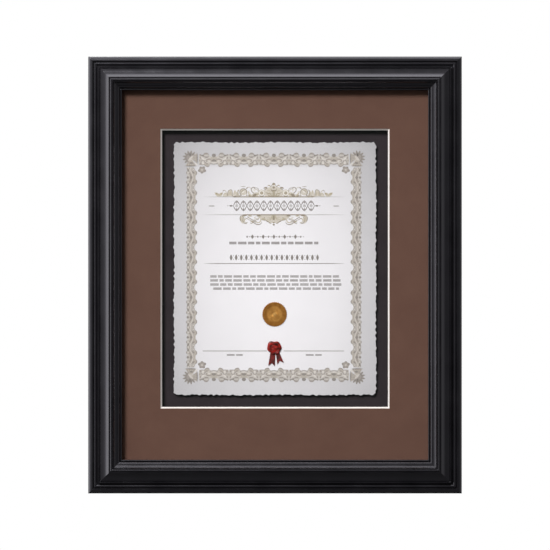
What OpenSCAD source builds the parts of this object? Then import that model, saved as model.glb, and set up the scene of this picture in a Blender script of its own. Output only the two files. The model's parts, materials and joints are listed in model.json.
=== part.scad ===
// Certificate frame, hung on a wall. A mitred, stepped moulding holds the glass,
// a bevelled mat, a deckle-edged sheet floated on a dark board, and a backing
// board that eight turn buttons keep in. Millimetres, +Z up, and the face looks
// along -Y. The origin is the middle notch of the hanger, in the wall's plane.

/* [Frame] */
// Overall width, outer edge to outer edge
frame_w = 374.65; // [312:0.05:460]
// Overall height, outer edge to outer edge
frame_h = 438.15; // [365:0.05:540]
// Width of the moulding, outer edge to sight edge
moulding_w = 33.8; // [28:0.1:42]
// How far the lip reaches over the glass
lip_w = 5.7; // [4:0.1:8]
// Play between the boards and the rabbet, on each side
board_gap = 0.5; // [0.2:0.1:1.5]

/* [Moulding face] */
// Width of the quarter-round rim at the outer edge
rim_w = 4.5; // [3:0.1:4.6]
// Radius of the rim's round, a little more than its width
rim_r = 4.8; // [4.6:0.1:6]
// Top of the rim above the glass
rim_rise = 4.5; // [3.8:0.1:6]
// Floor of the channel between the rim and the shelf, above the glass
channel_rise = 2.7; // [1.5:0.1:3.5]
// Radius of the bead that runs along the channel
bead_r = 1.5; // [1:0.1:1.8]
// Place of the bead's middle, from the outer edge
bead_at = 7.3; // [6.6:0.1:8.5]
// Place of the shelf's riser, from the outer edge
shelf_at = 10.8; // [10.3:0.1:12]
// Top of the shelf above the glass
shelf_rise = 6.2; // [4:0.1:8]
// Width of the shelf's flat edge
shelf_edge = 0.8; // [0.4:0.1:1.5]
// Width of the V-shaped quirk between the shelf and the cove
quirk_w = 1; // [0.6:0.1:1.5]
// Depth of that quirk
quirk_d = 0.6; // [0.3:0.1:1]
// Top of the big cove above the glass, where its flat fillet starts
cove_rise = 10.8; // [8.5:0.1:13]
// Width of the flat fillet between the cove and the astragal
fillet_w = 1.6; // [1:0.1:2.5]
// Radius of the astragal, the small bead on the crest
astragal_r = 1.1; // [0.8:0.1:1.4]
// Width of the groove inside the astragal
crest_groove_w = 0.5; // [0.3:0.1:0.8]
// Width of the flat edge between that groove and the throat
crest_edge_w = 0.4; // [0.2:0.1:0.8]
// Radius of the throat, the cove that runs down towards the glass
throat_r = 4.2; // [3.4:0.1:5]
// Radius of the ovolo below the throat
ovolo_r = 2.3; // [1.8:0.1:2.8]
// Height of the lip's flat above the glass
lip_rise = 4.6; // [3:0.1:5]
// Radius of the bead along the sight edge
lip_bead_r = 0.8; // [0.5:0.1:1]

/* [Boards] */
// Thickness of the glass
glass_t = 2; // [1.5:0.1:3]
// Thickness of the mat's white core
mat_core_t = 1.3; // [0.8:0.1:3]
// Thickness of the mat's coloured face paper
mat_paper_t = 0.2; // [0.1:0.05:0.4]
// Width of the bevel round the mat's window, seen from the front
bevel_w = 1.7; // [1:0.1:3]
// Height of the spacers behind the mat
spacer_t = 5; // [3.6:0.1:12]
// How far the spacers stay back from the window
spacer_setback = 6.4; // [3:0.1:6.4]
// Thickness of the dark board that the sheet floats on
float_board_t = 1.5; // [1:0.1:3]
// Thickness of the backing board
backing_t = 3; // [2:0.1:6]

/* [Certificate] */
// Width of the sheet
sheet_w = 203.2; // [150:0.1:216]
// Height of the sheet
sheet_h = 254; // [200:0.1:270]
// Thickness of the sheet
sheet_t = 0.4; // [0.2:0.05:0.8]
// Dark reveal between the sheet and the mat's window
reveal = 12.7; // [6:0.1:14]
// How much deeper the mat's lower border is than its upper one
lower_border_extra = 12.7; // [0:0.1:20]
// How far the deckle wanders from a straight edge
deckle = 1.1; // [0:0.05:1.5]
// How far the deckle takes the sheet's corners off
corner_cut = 2.4; // [1:0.1:5]
// Height of the riser that floats the sheet
riser_t = 2.5; // [0.8:0.1:2.6]
// How far the riser stays back from the sheet's edges
riser_setback = 14; // [6:0.5:30]
// Diameter of the gold seal, over its points
gold_seal_d = 25.4; // [18:0.1:32]
// Height of the gold seal's middle above the middle of the sheet
gold_seal_z = -45.9; // [-60:0.1:-30]
// How far right of the sheet's middle the two seals are
seals_right = -0.4; // [-2:0.1:2]
// Mean diameter of the poured wax seal
wax_seal_d = 14.2; // [13:0.1:17]
// Height of the wax seal's stamp above the middle of the sheet
wax_seal_z = -80.6; // [-92:0.1:-78]
// Diameter of the stamp's hollow in the wax
stamp_d = 8.6; // [6:0.1:9.4]
// Thickness of the wax
wax_seal_t = 1.7; // [1:0.1:2]
// Thickness of the foil and of the ribbon
foil_t = 0.3; // [0.1:0.05:0.5]
// Width of each ribbon at its tail
ribbon_w = 6.6; // [5:0.1:7.5]
// Width of the left ribbon where the wax holds it
left_held_w = 4.8; // [3:0.1:5]
// Width of the right ribbon where the wax holds it
right_held_w = 3.2; // [3:0.1:5]
// Length of the left ribbon
left_tail_l = 14.8; // [10:0.1:20]
// Length of the right ribbon
right_tail_l = 12.7; // [10:0.1:20]
// How far the left ribbon leans out, in degrees
left_tail_lean = 6; // [4:1:20]
// How far the right ribbon leans out, in degrees
right_tail_lean = 15; // [8:1:25]

/* [Back fittings] */
// Distance of each turn button from the frame's corner, along its rail
button_from_corner = 110; // [70:1:125]
// Distance of a button's pivot from the rabbet
button_setback = 8; // [6:0.1:10]
// Length of a button from its pivot to its tip
button_reach = 16; // [13:0.1:19]
// Width of a button at its pivot
button_w = 9; // [8:0.1:12]
// Width of a button at its tip
button_tip_w = 6.4; // [4:0.1:7.5]
// Thickness of a button
button_t = 1.2; // [0.8:0.1:1.3]
// Running clearance round a button's pivot and on its faces
button_clear = 0.05; // [0.02:0.01:0.1]
// Diameter of the screws' shanks
screw_d = 2.6; // [2:0.1:3.5]
// Length of the screws under their heads
screw_l = 12; // [8:0.5:14]
// Diameter of the screws' heads
screw_head_d = 5.6; // [4.5:0.1:7]
// Height of the screws' heads
screw_head_h = 1.5; // [1:0.1:1.5]
// Length of the hanger
hanger_l = 45; // [36:1:60]
// Height of the hanger
hanger_h = 9; // [7:0.5:12]
// Distance of the hanger's upper edge from the top of the frame
hanger_drop = 9.5; // [6:0.5:14]
// Thickness of the hanger's steel
hanger_t = 0.8; // [0.5:0.1:1]
// How far the toothed strip stands off the rail
hanger_standoff = 1.6; // [1.2:0.1:1.9]
// Length of each of the hanger's flat ends
hanger_tab = 6.4; // [5:0.1:8]
// Distance between the teeth
tooth_pitch = 2.4; // [2:0.1:4]
// Depth of the notches between the teeth
tooth_d = 1.6; // [1:0.1:2.5]
// Diameter of the hanger's nails
nail_d = 1.4; // [1:0.1:1.8]
// Length of the hanger's nails under their heads
nail_l = 10; // [6:0.5:12]
// Diameter of the nails' heads
nail_head_d = 3; // [2:0.1:5]
// Height of the nails' heads
nail_head_h = 0.7; // [0.4:0.1:1]
// Length of each leg of a V-nail
v_leg = 5; // [3.5:0.1:6]
// Depth of a V-nail
v_depth = 10; // [7:0.5:12]
// Thickness of a V-nail's steel
v_t = 0.6; // [0.4:0.05:0.8]
// Play round what is driven into the wood
driven_clear = 0.05; // [0.02:0.01:0.1]
// Height of the rubber bumpers, which is the gap to the wall
bumper_h = 3; // [2.9:0.1:6]
// Diameter of a bumper where it sits on the rail
bumper_d = 10; // [8:0.5:14]
// Diameter of a bumper's flat face against the wall
bumper_face_d = 7.2; // [5:0.1:7.5]
// Distance of each bumper from the frame's side
bumper_from_side = 45; // [42:1:60]
// Distance of each bumper from the frame's lower edge
bumper_from_bottom = 14; // [8:0.5:18]

/* [Hidden] */

$fn = 96;

LACQUER = [0.09, 0.09, 0.1];
ZINC = [0.72, 0.72, 0.7];
STEEL = [0.55, 0.56, 0.58];
WHITE_CORE = [0.96, 0.95, 0.92];
BLACK_FOAM = [0.16, 0.16, 0.17];

// Levels above the back of the rails, towards the viewer
float_level = backing_t;
spacer_level = float_level + float_board_t;
mat_level = spacer_level + spacer_t;
mat_t = mat_core_t + mat_paper_t;
glass_level = mat_level + mat_t;
seat = glass_level + glass_t;
riser_level = spacer_level;
sheet_level = riser_level + riser_t;
seal_level = sheet_level + sheet_t;

// Outlines of the boards, the mat's window and its borders
rabbet_at = moulding_w - lip_w;
board_w = frame_w - 2 * (rabbet_at + board_gap);
board_h = frame_h - 2 * (rabbet_at + board_gap);
window_w = sheet_w + 2 * reveal;
window_h = sheet_h + 2 * reveal;
window_z = lower_border_extra / 2;
side_border = (board_w - window_w) / 2;
top_border = (board_h - window_h) / 2 - window_z;
bottom_border = (board_h - window_h) / 2 + window_z;

// Height of the hanger's middle notch above the middle of the frame
hang_z = frame_h / 2 - hanger_drop - hanger_h + tooth_d;

// Length that a cutter runs past what it cuts
past = 1;

// Carries everything from the middle of the frame's back to the hanger's notch
module from_hanger() {
    translate([0, -bumper_h, -hang_z]) children();
}

// Stands a drawing up in the plane of the back, as thick as it says, with its
// near face at a level above the rails' backs
module standing(level, thick) {
    translate([0, -level, 0]) rotate([90, 0, 0]) linear_extrude(height = thick) children();
}

// A rectangular board with its back at a level above the rails' backs
module board(w, h, level, thick) {
    translate([-w / 2, -level - thick, -h / 2]) cube([w, thick, h]);
}

// Moulding. Its section runs from the outer edge along x, and towards the
// viewer along y. The outer members keep their distance from the outer edge,
// the inner ones theirs from the sight edge, and the big cove fills the rest.

// How far a round reaches past the straight edge beside it, so that every round
// meets its neighbour at an angle
tuck = 0.1;
lip_quirk_w = 0.6;
throat_step = 0.24;
crest_step = 1;

cove_at = shelf_at + shelf_edge + quirk_w;
cove_middle = cove_at - quirk_w / 2;
lip_bead_at = moulding_w - lip_bead_r + tuck;
ovolo_edge = lip_bead_at - lip_bead_r - lip_quirk_w;
ovolo_at = ovolo_edge - ovolo_r + tuck;
throat_end = ovolo_at - 2 * tuck;
throat_at = throat_end + 5 * tuck;
crest_rise = cove_rise + crest_step;
throat_rise = crest_rise + 4 * tuck;
throat_edge = throat_at - sqrt(throat_r * throat_r - pow(throat_rise - crest_rise, 2));
throat_floor = throat_rise - sqrt(throat_r * throat_r - pow(throat_at - throat_end, 2));
ovolo_rise = throat_floor - throat_step - ovolo_r;
groove_end = throat_edge - crest_edge_w;
groove_at = groove_end - crest_groove_w;
astragal_at = groove_at - astragal_r;
fillet_at = astragal_at - astragal_r - fillet_w;
cove_span = fillet_at - cove_middle;
cove_depth = cove_rise - shelf_rise;
cove_r = (cove_span * cove_span + cove_depth * cove_depth) / (2 * cove_depth);

module disc_at(w, rise, r) {
    translate([w, seat + rise]) circle(r = r);
}

// A half-round bead that stands on a bed at this height above the glass
module bead_on(w, bed_rise, r) {
    intersection() {
        disc_at(w, bed_rise, r);
        translate([w - 2 * r, seat + bed_rise - tuck]) square([4 * r, 2 * r]);
    }
}

// The section with its steps square, before the rounds go on and the coves come off
module moulding_blank() {
    polygon([
        [0, 0],
        [rabbet_at, 0],
        [rabbet_at, seat],
        [moulding_w, seat],
        [moulding_w, seat + lip_rise],
        [ovolo_edge, seat + lip_rise],
        [ovolo_edge, seat + ovolo_rise],
        [ovolo_at + tuck, seat + throat_floor - throat_step - tuck / 2],
        [throat_end, seat + throat_floor - throat_step - tuck / 2],
        [throat_end, seat + crest_rise],
        [groove_end, seat + crest_rise],
        [groove_end, seat + cove_rise],
        [cove_at, seat + cove_rise],
        [cove_at, seat + shelf_rise - quirk_d / 3],
        [cove_middle, seat + shelf_rise - quirk_d],
        [shelf_at + shelf_edge, seat + shelf_rise],
        [shelf_at, seat + shelf_rise],
        [shelf_at, seat + channel_rise],
        [rim_w, seat + channel_rise],
        [0, seat]
    ]);
}

module moulding_section() {
    difference() {
        union() {
            moulding_blank();
            intersection() {
                square([rim_w, seat + rim_rise + past]);
                disc_at(rim_w, rim_rise - rim_r, rim_r);
            }
            bead_on(bead_at, channel_rise, bead_r);
            bead_on(astragal_at, cove_rise, astragal_r);
            disc_at(ovolo_at, ovolo_rise, ovolo_r);
            bead_on(lip_bead_at, lip_rise, lip_bead_r);
        }
        disc_at(cove_middle, shelf_rise + cove_r, cove_r);
        disc_at(throat_at, throat_rise, throat_r);
        translate([moulding_w, 0]) square([lip_w, 2 * seat]);
    }
}

// A rail along z with its outer edge at x = 0 and both ends cut at 45 degrees
module mitred_bar(len) {
    block = 4 * moulding_w;
    difference() {
        linear_extrude(height = len + 2 * past, center = true) moulding_section();
        for (end = [0, 1]) {
            mirror([0, 0, end])
                translate([0, -past, len / 2])
                rotate([0, 45, 0])
                translate([-block / 2, 0, 0])
                cube([block, block, block]);
        }
    }
}

// One rail of each direction, in its place at the left and at the bottom
module upright_bar() {
    translate([-frame_w / 2, 0, 0]) rotate([180, 0, 0]) mitred_bar(frame_h);
}

module level_bar() {
    translate([0, 0, -frame_h / 2]) rotate(a = 180, v = [1, 0, 1]) mitred_bar(frame_w);
}

module rail_top() {
    color(LACQUER) from_hanger() difference() {
        mirror([0, 0, 1]) level_bar();
        fitting_holes();
    }
}

module rail_bottom() {
    color(LACQUER) from_hanger() difference() {
        level_bar();
        fitting_holes();
    }
}

module rail_left() {
    color(LACQUER) from_hanger() difference() {
        upright_bar();
        fitting_holes();
    }
}

module rail_right() {
    color(LACQUER) from_hanger() difference() {
        mirror([1, 0, 0]) upright_bar();
        fitting_holes();
    }
}

// V-nails. Two are driven across each mitre from the back, one near the outer
// corner and one near the rabbet, with the point of the V on the mitre.

v_margin = 3.5;
v_places = [v_leg + v_margin, rabbet_at - v_margin];
v_sink = 0.2;

module v_outline(play) {
    reach = v_leg + play;
    translate([-reach, -play]) square([reach + play, v_t + 2 * play]);
    translate([-v_t - play, -play]) square([v_t + 2 * play, reach + play]);
}

// Stands a V at each place on the four mitres
module at_mitres(level, thick) {
    for (sx = [0, 1], sz = [0, 1], w = v_places) {
        mirror([sx, 0, 0]) mirror([0, 0, sz])
            translate([w - frame_w / 2, 0, frame_h / 2 - w])
            standing(level, thick) children();
    }
}

module corner_v_nails() {
    color(STEEL) from_hanger() at_mitres(v_sink, v_depth) v_outline(0);
}

// Boards, from the glass back

module glazing() {
    color([0.8, 0.9, 0.9, 0.25]) from_hanger() board(board_w, board_h, glass_level, glass_t);
}

// Half the window's width or height at a level, on the bevel's slope
function window_half(size, level) =
    size / 2 + bevel_w * ((level - mat_level) / mat_t - 0.5);

module window_slope(size, len) {
    back = mat_level - past;
    front = glass_level + past;
    linear_extrude(height = len, center = true) polygon([
        [-window_half(size, back), -back],
        [window_half(size, back), -back],
        [window_half(size, front), -front],
        [-window_half(size, front), -front]
    ]);
}

module window_cutter() {
    translate([0, 0, window_z]) intersection() {
        window_slope(window_w, 2 * window_h);
        rotate([0, 90, 0]) window_slope(window_h, 2 * window_w);
    }
}

module mat_face_paper() {
    color([0.4, 0.29, 0.25]) from_hanger() difference() {
        board(board_w, board_h, mat_level + mat_core_t, mat_paper_t);
        window_cutter();
    }
}

module mat_core() {
    color(WHITE_CORE) from_hanger() difference() {
        board(board_w, board_h, mat_level, mat_core_t);
        window_cutter();
    }
}

// The upper and lower spacers run the whole width, and the side ones fit between them

module level_spacer(strip) {
    translate([0, 0, (board_h - strip) / 2]) board(board_w, strip, spacer_level, spacer_t);
}

top_strip = top_border - spacer_setback;
bottom_strip = bottom_border - spacer_setback;
side_strip = side_border - spacer_setback;

module upright_spacer() {
    translate([(side_strip - board_w) / 2, 0, (bottom_strip - top_strip) / 2])
        board(side_strip, board_h - top_strip - bottom_strip, spacer_level, spacer_t);
}

module spacer_top() {
    color(BLACK_FOAM) from_hanger() level_spacer(top_strip);
}

module spacer_bottom() {
    color(BLACK_FOAM) from_hanger() mirror([0, 0, 1]) level_spacer(bottom_strip);
}

module spacer_left() {
    color(BLACK_FOAM) from_hanger() upright_spacer();
}

module spacer_right() {
    color(BLACK_FOAM) from_hanger() mirror([1, 0, 0]) upright_spacer();
}

module float_board() {
    color([0.2, 0.18, 0.19]) from_hanger() board(board_w, board_h, float_level, float_board_t);
}

module backing_board() {
    color([0.45, 0.32, 0.22]) from_hanger() board(board_w, board_h, 0, backing_t);
}

// Certificate

module from_sheet() {
    from_hanger() translate([0, 0, window_z]) children();
}

module on_sheet(z) {
    from_sheet() translate([seals_right, 0, z]) children();
}

module float_riser() {
    color(BLACK_FOAM) from_sheet()
        board(sheet_w - 2 * riser_setback, sheet_h - 2 * riser_setback, riser_level, riser_t);
}

// How far the torn edge stands out from a straight one, s along the edge. Teeth
// that stand out between shallow hollows, a finer tear, and a slow wander.
function torn(s) =
    deckle * (0.45 * (1 - 2 * abs(sin(180 * s / 9.1 + 80 * sin(360 * s / 57))))
        + 0.3 * sin(360 * s / 5.3 + 90 * sin(360 * s / 71))
        + 0.25 * sin(360 * s / 83));

// The upper side of a sheet of this width and half height, torn from left to right
torn_pitch = 1.5;
function torn_side(len, out, start) =
    let (count = floor((len - 2 * corner_cut) / torn_pitch), pitch = (len - 2 * corner_cut) / count)
    [for (i = [0:count]) [i * pitch + corner_cut - len / 2, out + torn(start + i * pitch)]];

function turned(points, a) =
    [for (p = points) [p[0] * cos(a) + p[1] * sin(a), p[1] * cos(a) - p[0] * sin(a)]];

module certificate_sheet() {
    outline = concat(
        torn_side(sheet_w, sheet_h / 2, 0),
        turned(torn_side(sheet_h, sheet_w / 2, 211), 90),
        turned(torn_side(sheet_w, sheet_h / 2, 467), 180),
        turned(torn_side(sheet_h, sheet_w / 2, 683), 270)
    );
    color([0.9, 0.9, 0.91]) from_sheet() standing(sheet_level, sheet_t) polygon(outline);
}

// Points of a closed outline whose radius changes with the angle
function round_outline(count, radii) =
    [for (i = [0:count - 1]) let (a = 360 * i / count) radii[i % len(radii)] * [cos(a), sin(a)]];

gold_points = 40;
gold_point_l = 0.6;

module gold_seal() {
    color([0.7, 0.5, 0.22]) on_sheet(gold_seal_z)
        standing(seal_level, foil_t)
        polygon(round_outline(2 * gold_points, [gold_seal_d / 2, gold_seal_d / 2 - gold_point_l]));
}

// A strip that hangs from y = 0 and widens to a swallow tail at y = -len
module ribbon_outline(held_w, len, play) {
    held = held_w / 2 + play;
    half = ribbon_w / 2 + play;
    polygon([
        [-held, play],
        [held, play],
        [half, -len],
        [0, swallow * ribbon_w - len],
        [-half, -len]
    ]);
}

// The two tails start side by side under the seal and part on the way down
swallow = 0.45;
held_down = 2.4;
held_right = 0.9;
ribbon_part = 0.2;
module ribbons(play) {
    left_out = (left_held_w + ribbon_part) / 2;
    right_out = (right_held_w + ribbon_part) / 2;
    translate([held_right - left_out, -held_down])
        rotate(-left_tail_lean) ribbon_outline(left_held_w, left_tail_l, play);
    translate([held_right + right_out, -held_down])
        rotate(right_tail_lean) ribbon_outline(right_held_w, right_tail_l, play);
}

module ribbon_tails() {
    color([0.6, 0.1, 0.1]) on_sheet(wax_seal_z) standing(seal_level, foil_t) ribbons(0);
}

// Radius of the poured wax, which runs out unevenly round the stamp
wax_run = 1.2;
function wax_radius(a) =
    wax_seal_d / 2 + wax_run * (sin(a - 13) + 0.2 * sin(2 * a + 148) + 0.17 * sin(3 * a - 13)
        + 0.2 * sin(4 * a - 78) + 0.32 * sin(6 * a + 54));

wax_steps = 72;
stamp_depth = 0.5;

module wax_seal() {
    poured = [for (i = [0:wax_steps - 1]) wax_radius(360 * i / wax_steps)];
    color([0.55, 0.1, 0.1]) on_sheet(wax_seal_z) difference() {
        standing(seal_level, wax_seal_t) polygon(round_outline(wax_steps, poured));
        standing(seal_level + wax_seal_t - stamp_depth, past) circle(d = stamp_d);
        standing(seal_level - past, past + foil_t + driven_clear) ribbons(driven_clear);
    }
}

// Turn buttons. A seat is where a button pivots, in x and z from the middle of
// the frame, with the way that its arm points.

pivot_at = rabbet_at - button_setback;
side_x = frame_w / 2 - pivot_at;
end_z = frame_h / 2 - pivot_at;
along_x = frame_w / 2 - button_from_corner;
along_z = frame_h / 2 - button_from_corner;

seat_top_left = [-along_x, end_z, -90];
seat_top_right = [along_x, end_z, -90];
seat_bottom_left = [-along_x, -end_z, 90];
seat_bottom_right = [along_x, -end_z, 90];
seat_left_upper = [-side_x, along_z, 0];
seat_left_lower = [-side_x, -along_z, 0];
seat_right_upper = [side_x, along_z, 180];
seat_right_lower = [side_x, -along_z, 180];
button_seats = [
    seat_top_left, seat_top_right, seat_bottom_left, seat_bottom_right,
    seat_left_upper, seat_left_lower, seat_right_upper, seat_right_lower
];

module at_seat(spot) {
    translate([spot[0], 0, spot[1]]) rotate([0, -spot[2], 0]) children();
}

// The arm's straight sides start and end this far inside its two round ends
arm_inset = 0.4;

module turn_button(spot) {
    shoulder = button_w / 2 - arm_inset;
    tip_r = button_tip_w / 2;
    tip_at = button_reach - tip_r;
    tip = tip_r - arm_inset;
    color(ZINC) from_hanger() at_seat(spot)
        standing(-button_clear - button_t, button_t) difference() {
            union() {
                circle(d = button_w);
                polygon([[0, -shoulder], [tip_at, -tip], [tip_at, tip], [0, shoulder]]);
                translate([tip_at, 0]) circle(r = tip_r);
            }
            circle(d = screw_d + 2 * button_clear);
        }
}

module turn_button_top_left() {
    turn_button(seat_top_left);
}

module turn_button_top_right() {
    turn_button(seat_top_right);
}

module turn_button_bottom_left() {
    turn_button(seat_bottom_left);
}

module turn_button_bottom_right() {
    turn_button(seat_bottom_right);
}

module turn_button_left_upper() {
    turn_button(seat_left_upper);
}

module turn_button_left_lower() {
    turn_button(seat_left_lower);
}

module turn_button_right_upper() {
    turn_button(seat_right_upper);
}

module turn_button_right_lower() {
    turn_button(seat_right_lower);
}

// A fastener that points along -Y, with the underside of its head at y = 0
module pin(d, len, head_d, head_h) {
    point = 1.5 * d;
    rotate([90, 0, 0]) {
        translate([0, 0, -head_h]) cylinder(d = head_d, h = head_h);
        cylinder(d = d, h = len - point);
        translate([0, 0, len - point]) cylinder(d1 = d, d2 = d / 8, h = point);
    }
}

slot_w = 0.7;
slot_d = 0.8;

module turn_button_screws() {
    color(ZINC) from_hanger() for (spot = button_seats) at_seat(spot)
        translate([0, button_t + 2 * button_clear, 0]) difference() {
            pin(screw_d, screw_l, screw_head_d, screw_head_h);
            translate([-screw_head_d, screw_head_h - slot_d, -slot_w / 2])
                cube([2 * screw_head_d, slot_d + past, slot_w]);
        }
}

// Sawtooth hanger. A strip stands off the rail between two flat ends that are
// nailed down, and its lower edge is cut into teeth.

module hanger_strip() {
    far = hanger_l / 2;
    foot = far - hanger_tab;
    inner_foot = foot - (sqrt(2) - 1) * hanger_t;
    top = hanger_standoff + hanger_t;
    polygon([
        [-far, 0],
        [-inner_foot, 0],
        [hanger_standoff - inner_foot, hanger_standoff],
        [inner_foot - hanger_standoff, hanger_standoff],
        [inner_foot, 0],
        [far, 0],
        [far, hanger_t],
        [foot, hanger_t],
        [foot - hanger_standoff, top],
        [hanger_standoff - foot, top],
        [-foot, hanger_t],
        [-far, hanger_t]
    ]);
}

// A notch that leaves a narrow flat on each tooth's tip
tooth_flat = 0.4;
module notch() {
    half = (tooth_pitch - tooth_flat) / 2 * (tooth_d + past) / tooth_d;
    polygon([[-half, -past], [half, -past], [0, tooth_d]]);
}

notches_each_side = floor((hanger_l / 2 - hanger_tab - hanger_standoff) / tooth_pitch) - 1;
hanger_top = frame_h / 2 - hanger_drop;
hanger_nail_x = (hanger_l - hanger_tab) / 2;
hanger_nail_z = hanger_top - hanger_h / 2;

// Places what is drawn at each of the hanger's two nails
module at_hanger_nails() {
    for (side = [-1, 1]) {
        translate([side * hanger_nail_x, 0, hanger_nail_z]) children();
    }
}

module sawtooth_hanger() {
    color(STEEL) from_hanger() difference() {
        translate([0, 0, hanger_top - hanger_h])
            linear_extrude(height = hanger_h) hanger_strip();
        for (i = [-notches_each_side:notches_each_side]) {
            translate([i * tooth_pitch, 0, hanger_top - hanger_h])
                standing(-hanger_standoff - hanger_t - past, hanger_t + 2 * past) notch();
        }
        at_hanger_nails() rotate([90, 0, 0])
            cylinder(d = nail_d + 2 * driven_clear, h = 4 * hanger_t, center = true);
    }
}

module hanger_nails() {
    color(STEEL) from_hanger() at_hanger_nails()
        translate([0, hanger_t, 0]) pin(nail_d, nail_l, nail_head_d, nail_head_h);
}

// Holes in the rails' backs for everything that is driven into them
module fitting_holes() {
    for (spot = button_seats) {
        at_seat(spot) translate([0, past, 0]) rotate([90, 0, 0])
            cylinder(d = screw_d + 2 * driven_clear, h = screw_l + past);
    }
    at_hanger_nails() translate([0, past, 0]) rotate([90, 0, 0])
        cylinder(d = nail_d + 2 * driven_clear, h = nail_l + past);
    at_mitres(-past, past + v_sink + v_depth + driven_clear) v_outline(driven_clear);
}

// Bumpers. Each is a slice of a ball, widest on the rail and flat on the wall.

module bumper(side) {
    base_r = bumper_d / 2;
    face_r = bumper_face_d / 2;
    middle = (face_r * face_r + bumper_h * bumper_h - base_r * base_r) / (2 * bumper_h);
    ball_r = sqrt(base_r * base_r + middle * middle);
    color([0.12, 0.12, 0.12]) from_hanger()
        translate([side * (frame_w / 2 - bumper_from_side), 0, bumper_from_bottom - frame_h / 2])
        rotate([-90, 0, 0]) intersection() {
            cylinder(r = 2 * base_r, h = bumper_h);
            translate([0, 0, middle]) sphere(r = ball_r);
        }
}

module bumper_left() {
    bumper(-1);
}

module bumper_right() {
    bumper(1);
}

rail_top();
rail_bottom();
rail_left();
rail_right();
corner_v_nails();
glazing();
mat_face_paper();
mat_core();
spacer_top();
spacer_bottom();
spacer_left();
spacer_right();
float_board();
float_riser();
certificate_sheet();
gold_seal();
wax_seal();
ribbon_tails();
backing_board();
turn_button_top_left();
turn_button_top_right();
turn_button_bottom_left();
turn_button_bottom_right();
turn_button_left_upper();
turn_button_left_lower();
turn_button_right_upper();
turn_button_right_lower();
turn_button_screws();
sawtooth_hanger();
hanger_nails();
bumper_left();
bumper_right();
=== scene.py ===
import json
import math

import bmesh
import bpy
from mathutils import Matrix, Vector, noise

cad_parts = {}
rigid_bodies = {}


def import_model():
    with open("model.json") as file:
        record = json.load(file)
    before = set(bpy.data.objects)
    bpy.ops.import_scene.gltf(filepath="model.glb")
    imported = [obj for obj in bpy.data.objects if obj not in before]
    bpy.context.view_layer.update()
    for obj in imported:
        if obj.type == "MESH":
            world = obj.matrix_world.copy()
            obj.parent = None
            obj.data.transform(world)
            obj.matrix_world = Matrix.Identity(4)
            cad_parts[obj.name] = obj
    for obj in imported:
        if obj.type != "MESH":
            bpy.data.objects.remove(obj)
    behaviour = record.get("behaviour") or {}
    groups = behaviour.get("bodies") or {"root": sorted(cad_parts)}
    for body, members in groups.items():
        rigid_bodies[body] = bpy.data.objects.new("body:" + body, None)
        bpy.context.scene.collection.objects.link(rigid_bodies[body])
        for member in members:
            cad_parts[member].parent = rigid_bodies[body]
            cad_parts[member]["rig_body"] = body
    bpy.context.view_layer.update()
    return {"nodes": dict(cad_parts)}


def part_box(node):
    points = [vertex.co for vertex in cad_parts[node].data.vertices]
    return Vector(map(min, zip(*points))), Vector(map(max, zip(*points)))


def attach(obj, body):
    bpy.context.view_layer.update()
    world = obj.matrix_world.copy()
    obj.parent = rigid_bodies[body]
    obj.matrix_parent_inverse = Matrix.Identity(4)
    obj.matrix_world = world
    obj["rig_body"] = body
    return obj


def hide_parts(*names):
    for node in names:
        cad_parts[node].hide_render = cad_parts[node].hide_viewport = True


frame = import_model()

# The finish, print and seals of a certificate frame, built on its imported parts.
# Lengths are metres, except on the print, which is drawn in millimetres from
# the middle of the sheet: u to the right and v up, as the front is looked at.

nodes = frame["nodes"]
MM = 0.001


def middle(node):
    """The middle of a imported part's box."""
    lo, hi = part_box(node)
    return (lo + hi) / 2


outer_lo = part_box("rail_left")[0]
outer_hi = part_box("rail_right")[1]
frame_mid = (outer_lo + outer_hi) / 2
frame_w = outer_hi.x - outer_lo.x
frame_h = outer_hi.z - outer_lo.z
sheet_mid = middle("float_riser")
sheet_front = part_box("certificate_sheet")[0].y


# Camera, straight in front of the frame's middle

PHOTO_SIDE = 550
FRAME_ACROSS_PHOTO = 373.55
CAMERA_AWAY = 3.2
CAMERA_SEES_TO = 50
SENSOR = 36
RIM_LEVEL = 14.4 * MM


def make_camera():
    """A long lens that shows the frame as wide as the photograph does."""
    rim_y = outer_hi.y - RIM_LEVEL
    seen_across = frame_w * PHOTO_SIDE / FRAME_ACROSS_PHOTO
    lens = bpy.data.cameras.new("camera")
    lens.sensor_width = SENSOR
    lens.lens = SENSOR * CAMERA_AWAY / seen_across
    lens.clip_end = CAMERA_SEES_TO
    camera = bpy.data.objects.new("camera", lens)
    camera.location = (frame_mid.x, rim_y - CAMERA_AWAY, frame_mid.z)
    camera.rotation_euler = (math.radians(90), 0, 0)
    bpy.context.collection.objects.link(camera)
    bpy.context.scene.camera = camera


make_camera()


# Light and background

BRIGHTEST = 2.6
# How bright the studio is by how far up a ray points, and by how far right
LIGHT_UP = ((-1, 0), (-0.1, 0), (0.06, 0.02), (0.25, 0.17),
            (0.7, 0.15), (0.86, 0.34), (0.96, 1.7), (1, BRIGHTEST))
LIGHT_RIGHT = ((-1, 1.9), (-0.85, 0.5), (-0.6, 0.27), (-0.24, 0.2), (-0.06, 0.0),
               (0.08, 0.0), (0.3, 0.1), (0.8, 0.1), (1, 0.35))
# Each lamp: its way from the frame's middle, how far off it is, how wide, and its watts
LAMPS = (("key_light", (-0.62, -1, 0.9), 5.0, 1.6, 304),
         ("back_light", (-0.5, 1, 0.8), 2.2, 1.2, 26))


def softbox(name, direction, away, side, power):
    """A square lamp that looks at the frame's middle from a direction."""
    data = bpy.data.lights.new(name, "AREA")
    data.shape = "SQUARE"
    data.size = side
    data.energy = power
    lamp = bpy.data.objects.new(name, data)
    way = Vector(direction).normalized()
    lamp.location = frame_mid + way * away
    lamp.rotation_euler = way.to_track_quat("Z", "Y").to_euler()
    bpy.context.collection.objects.link(lamp)


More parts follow.
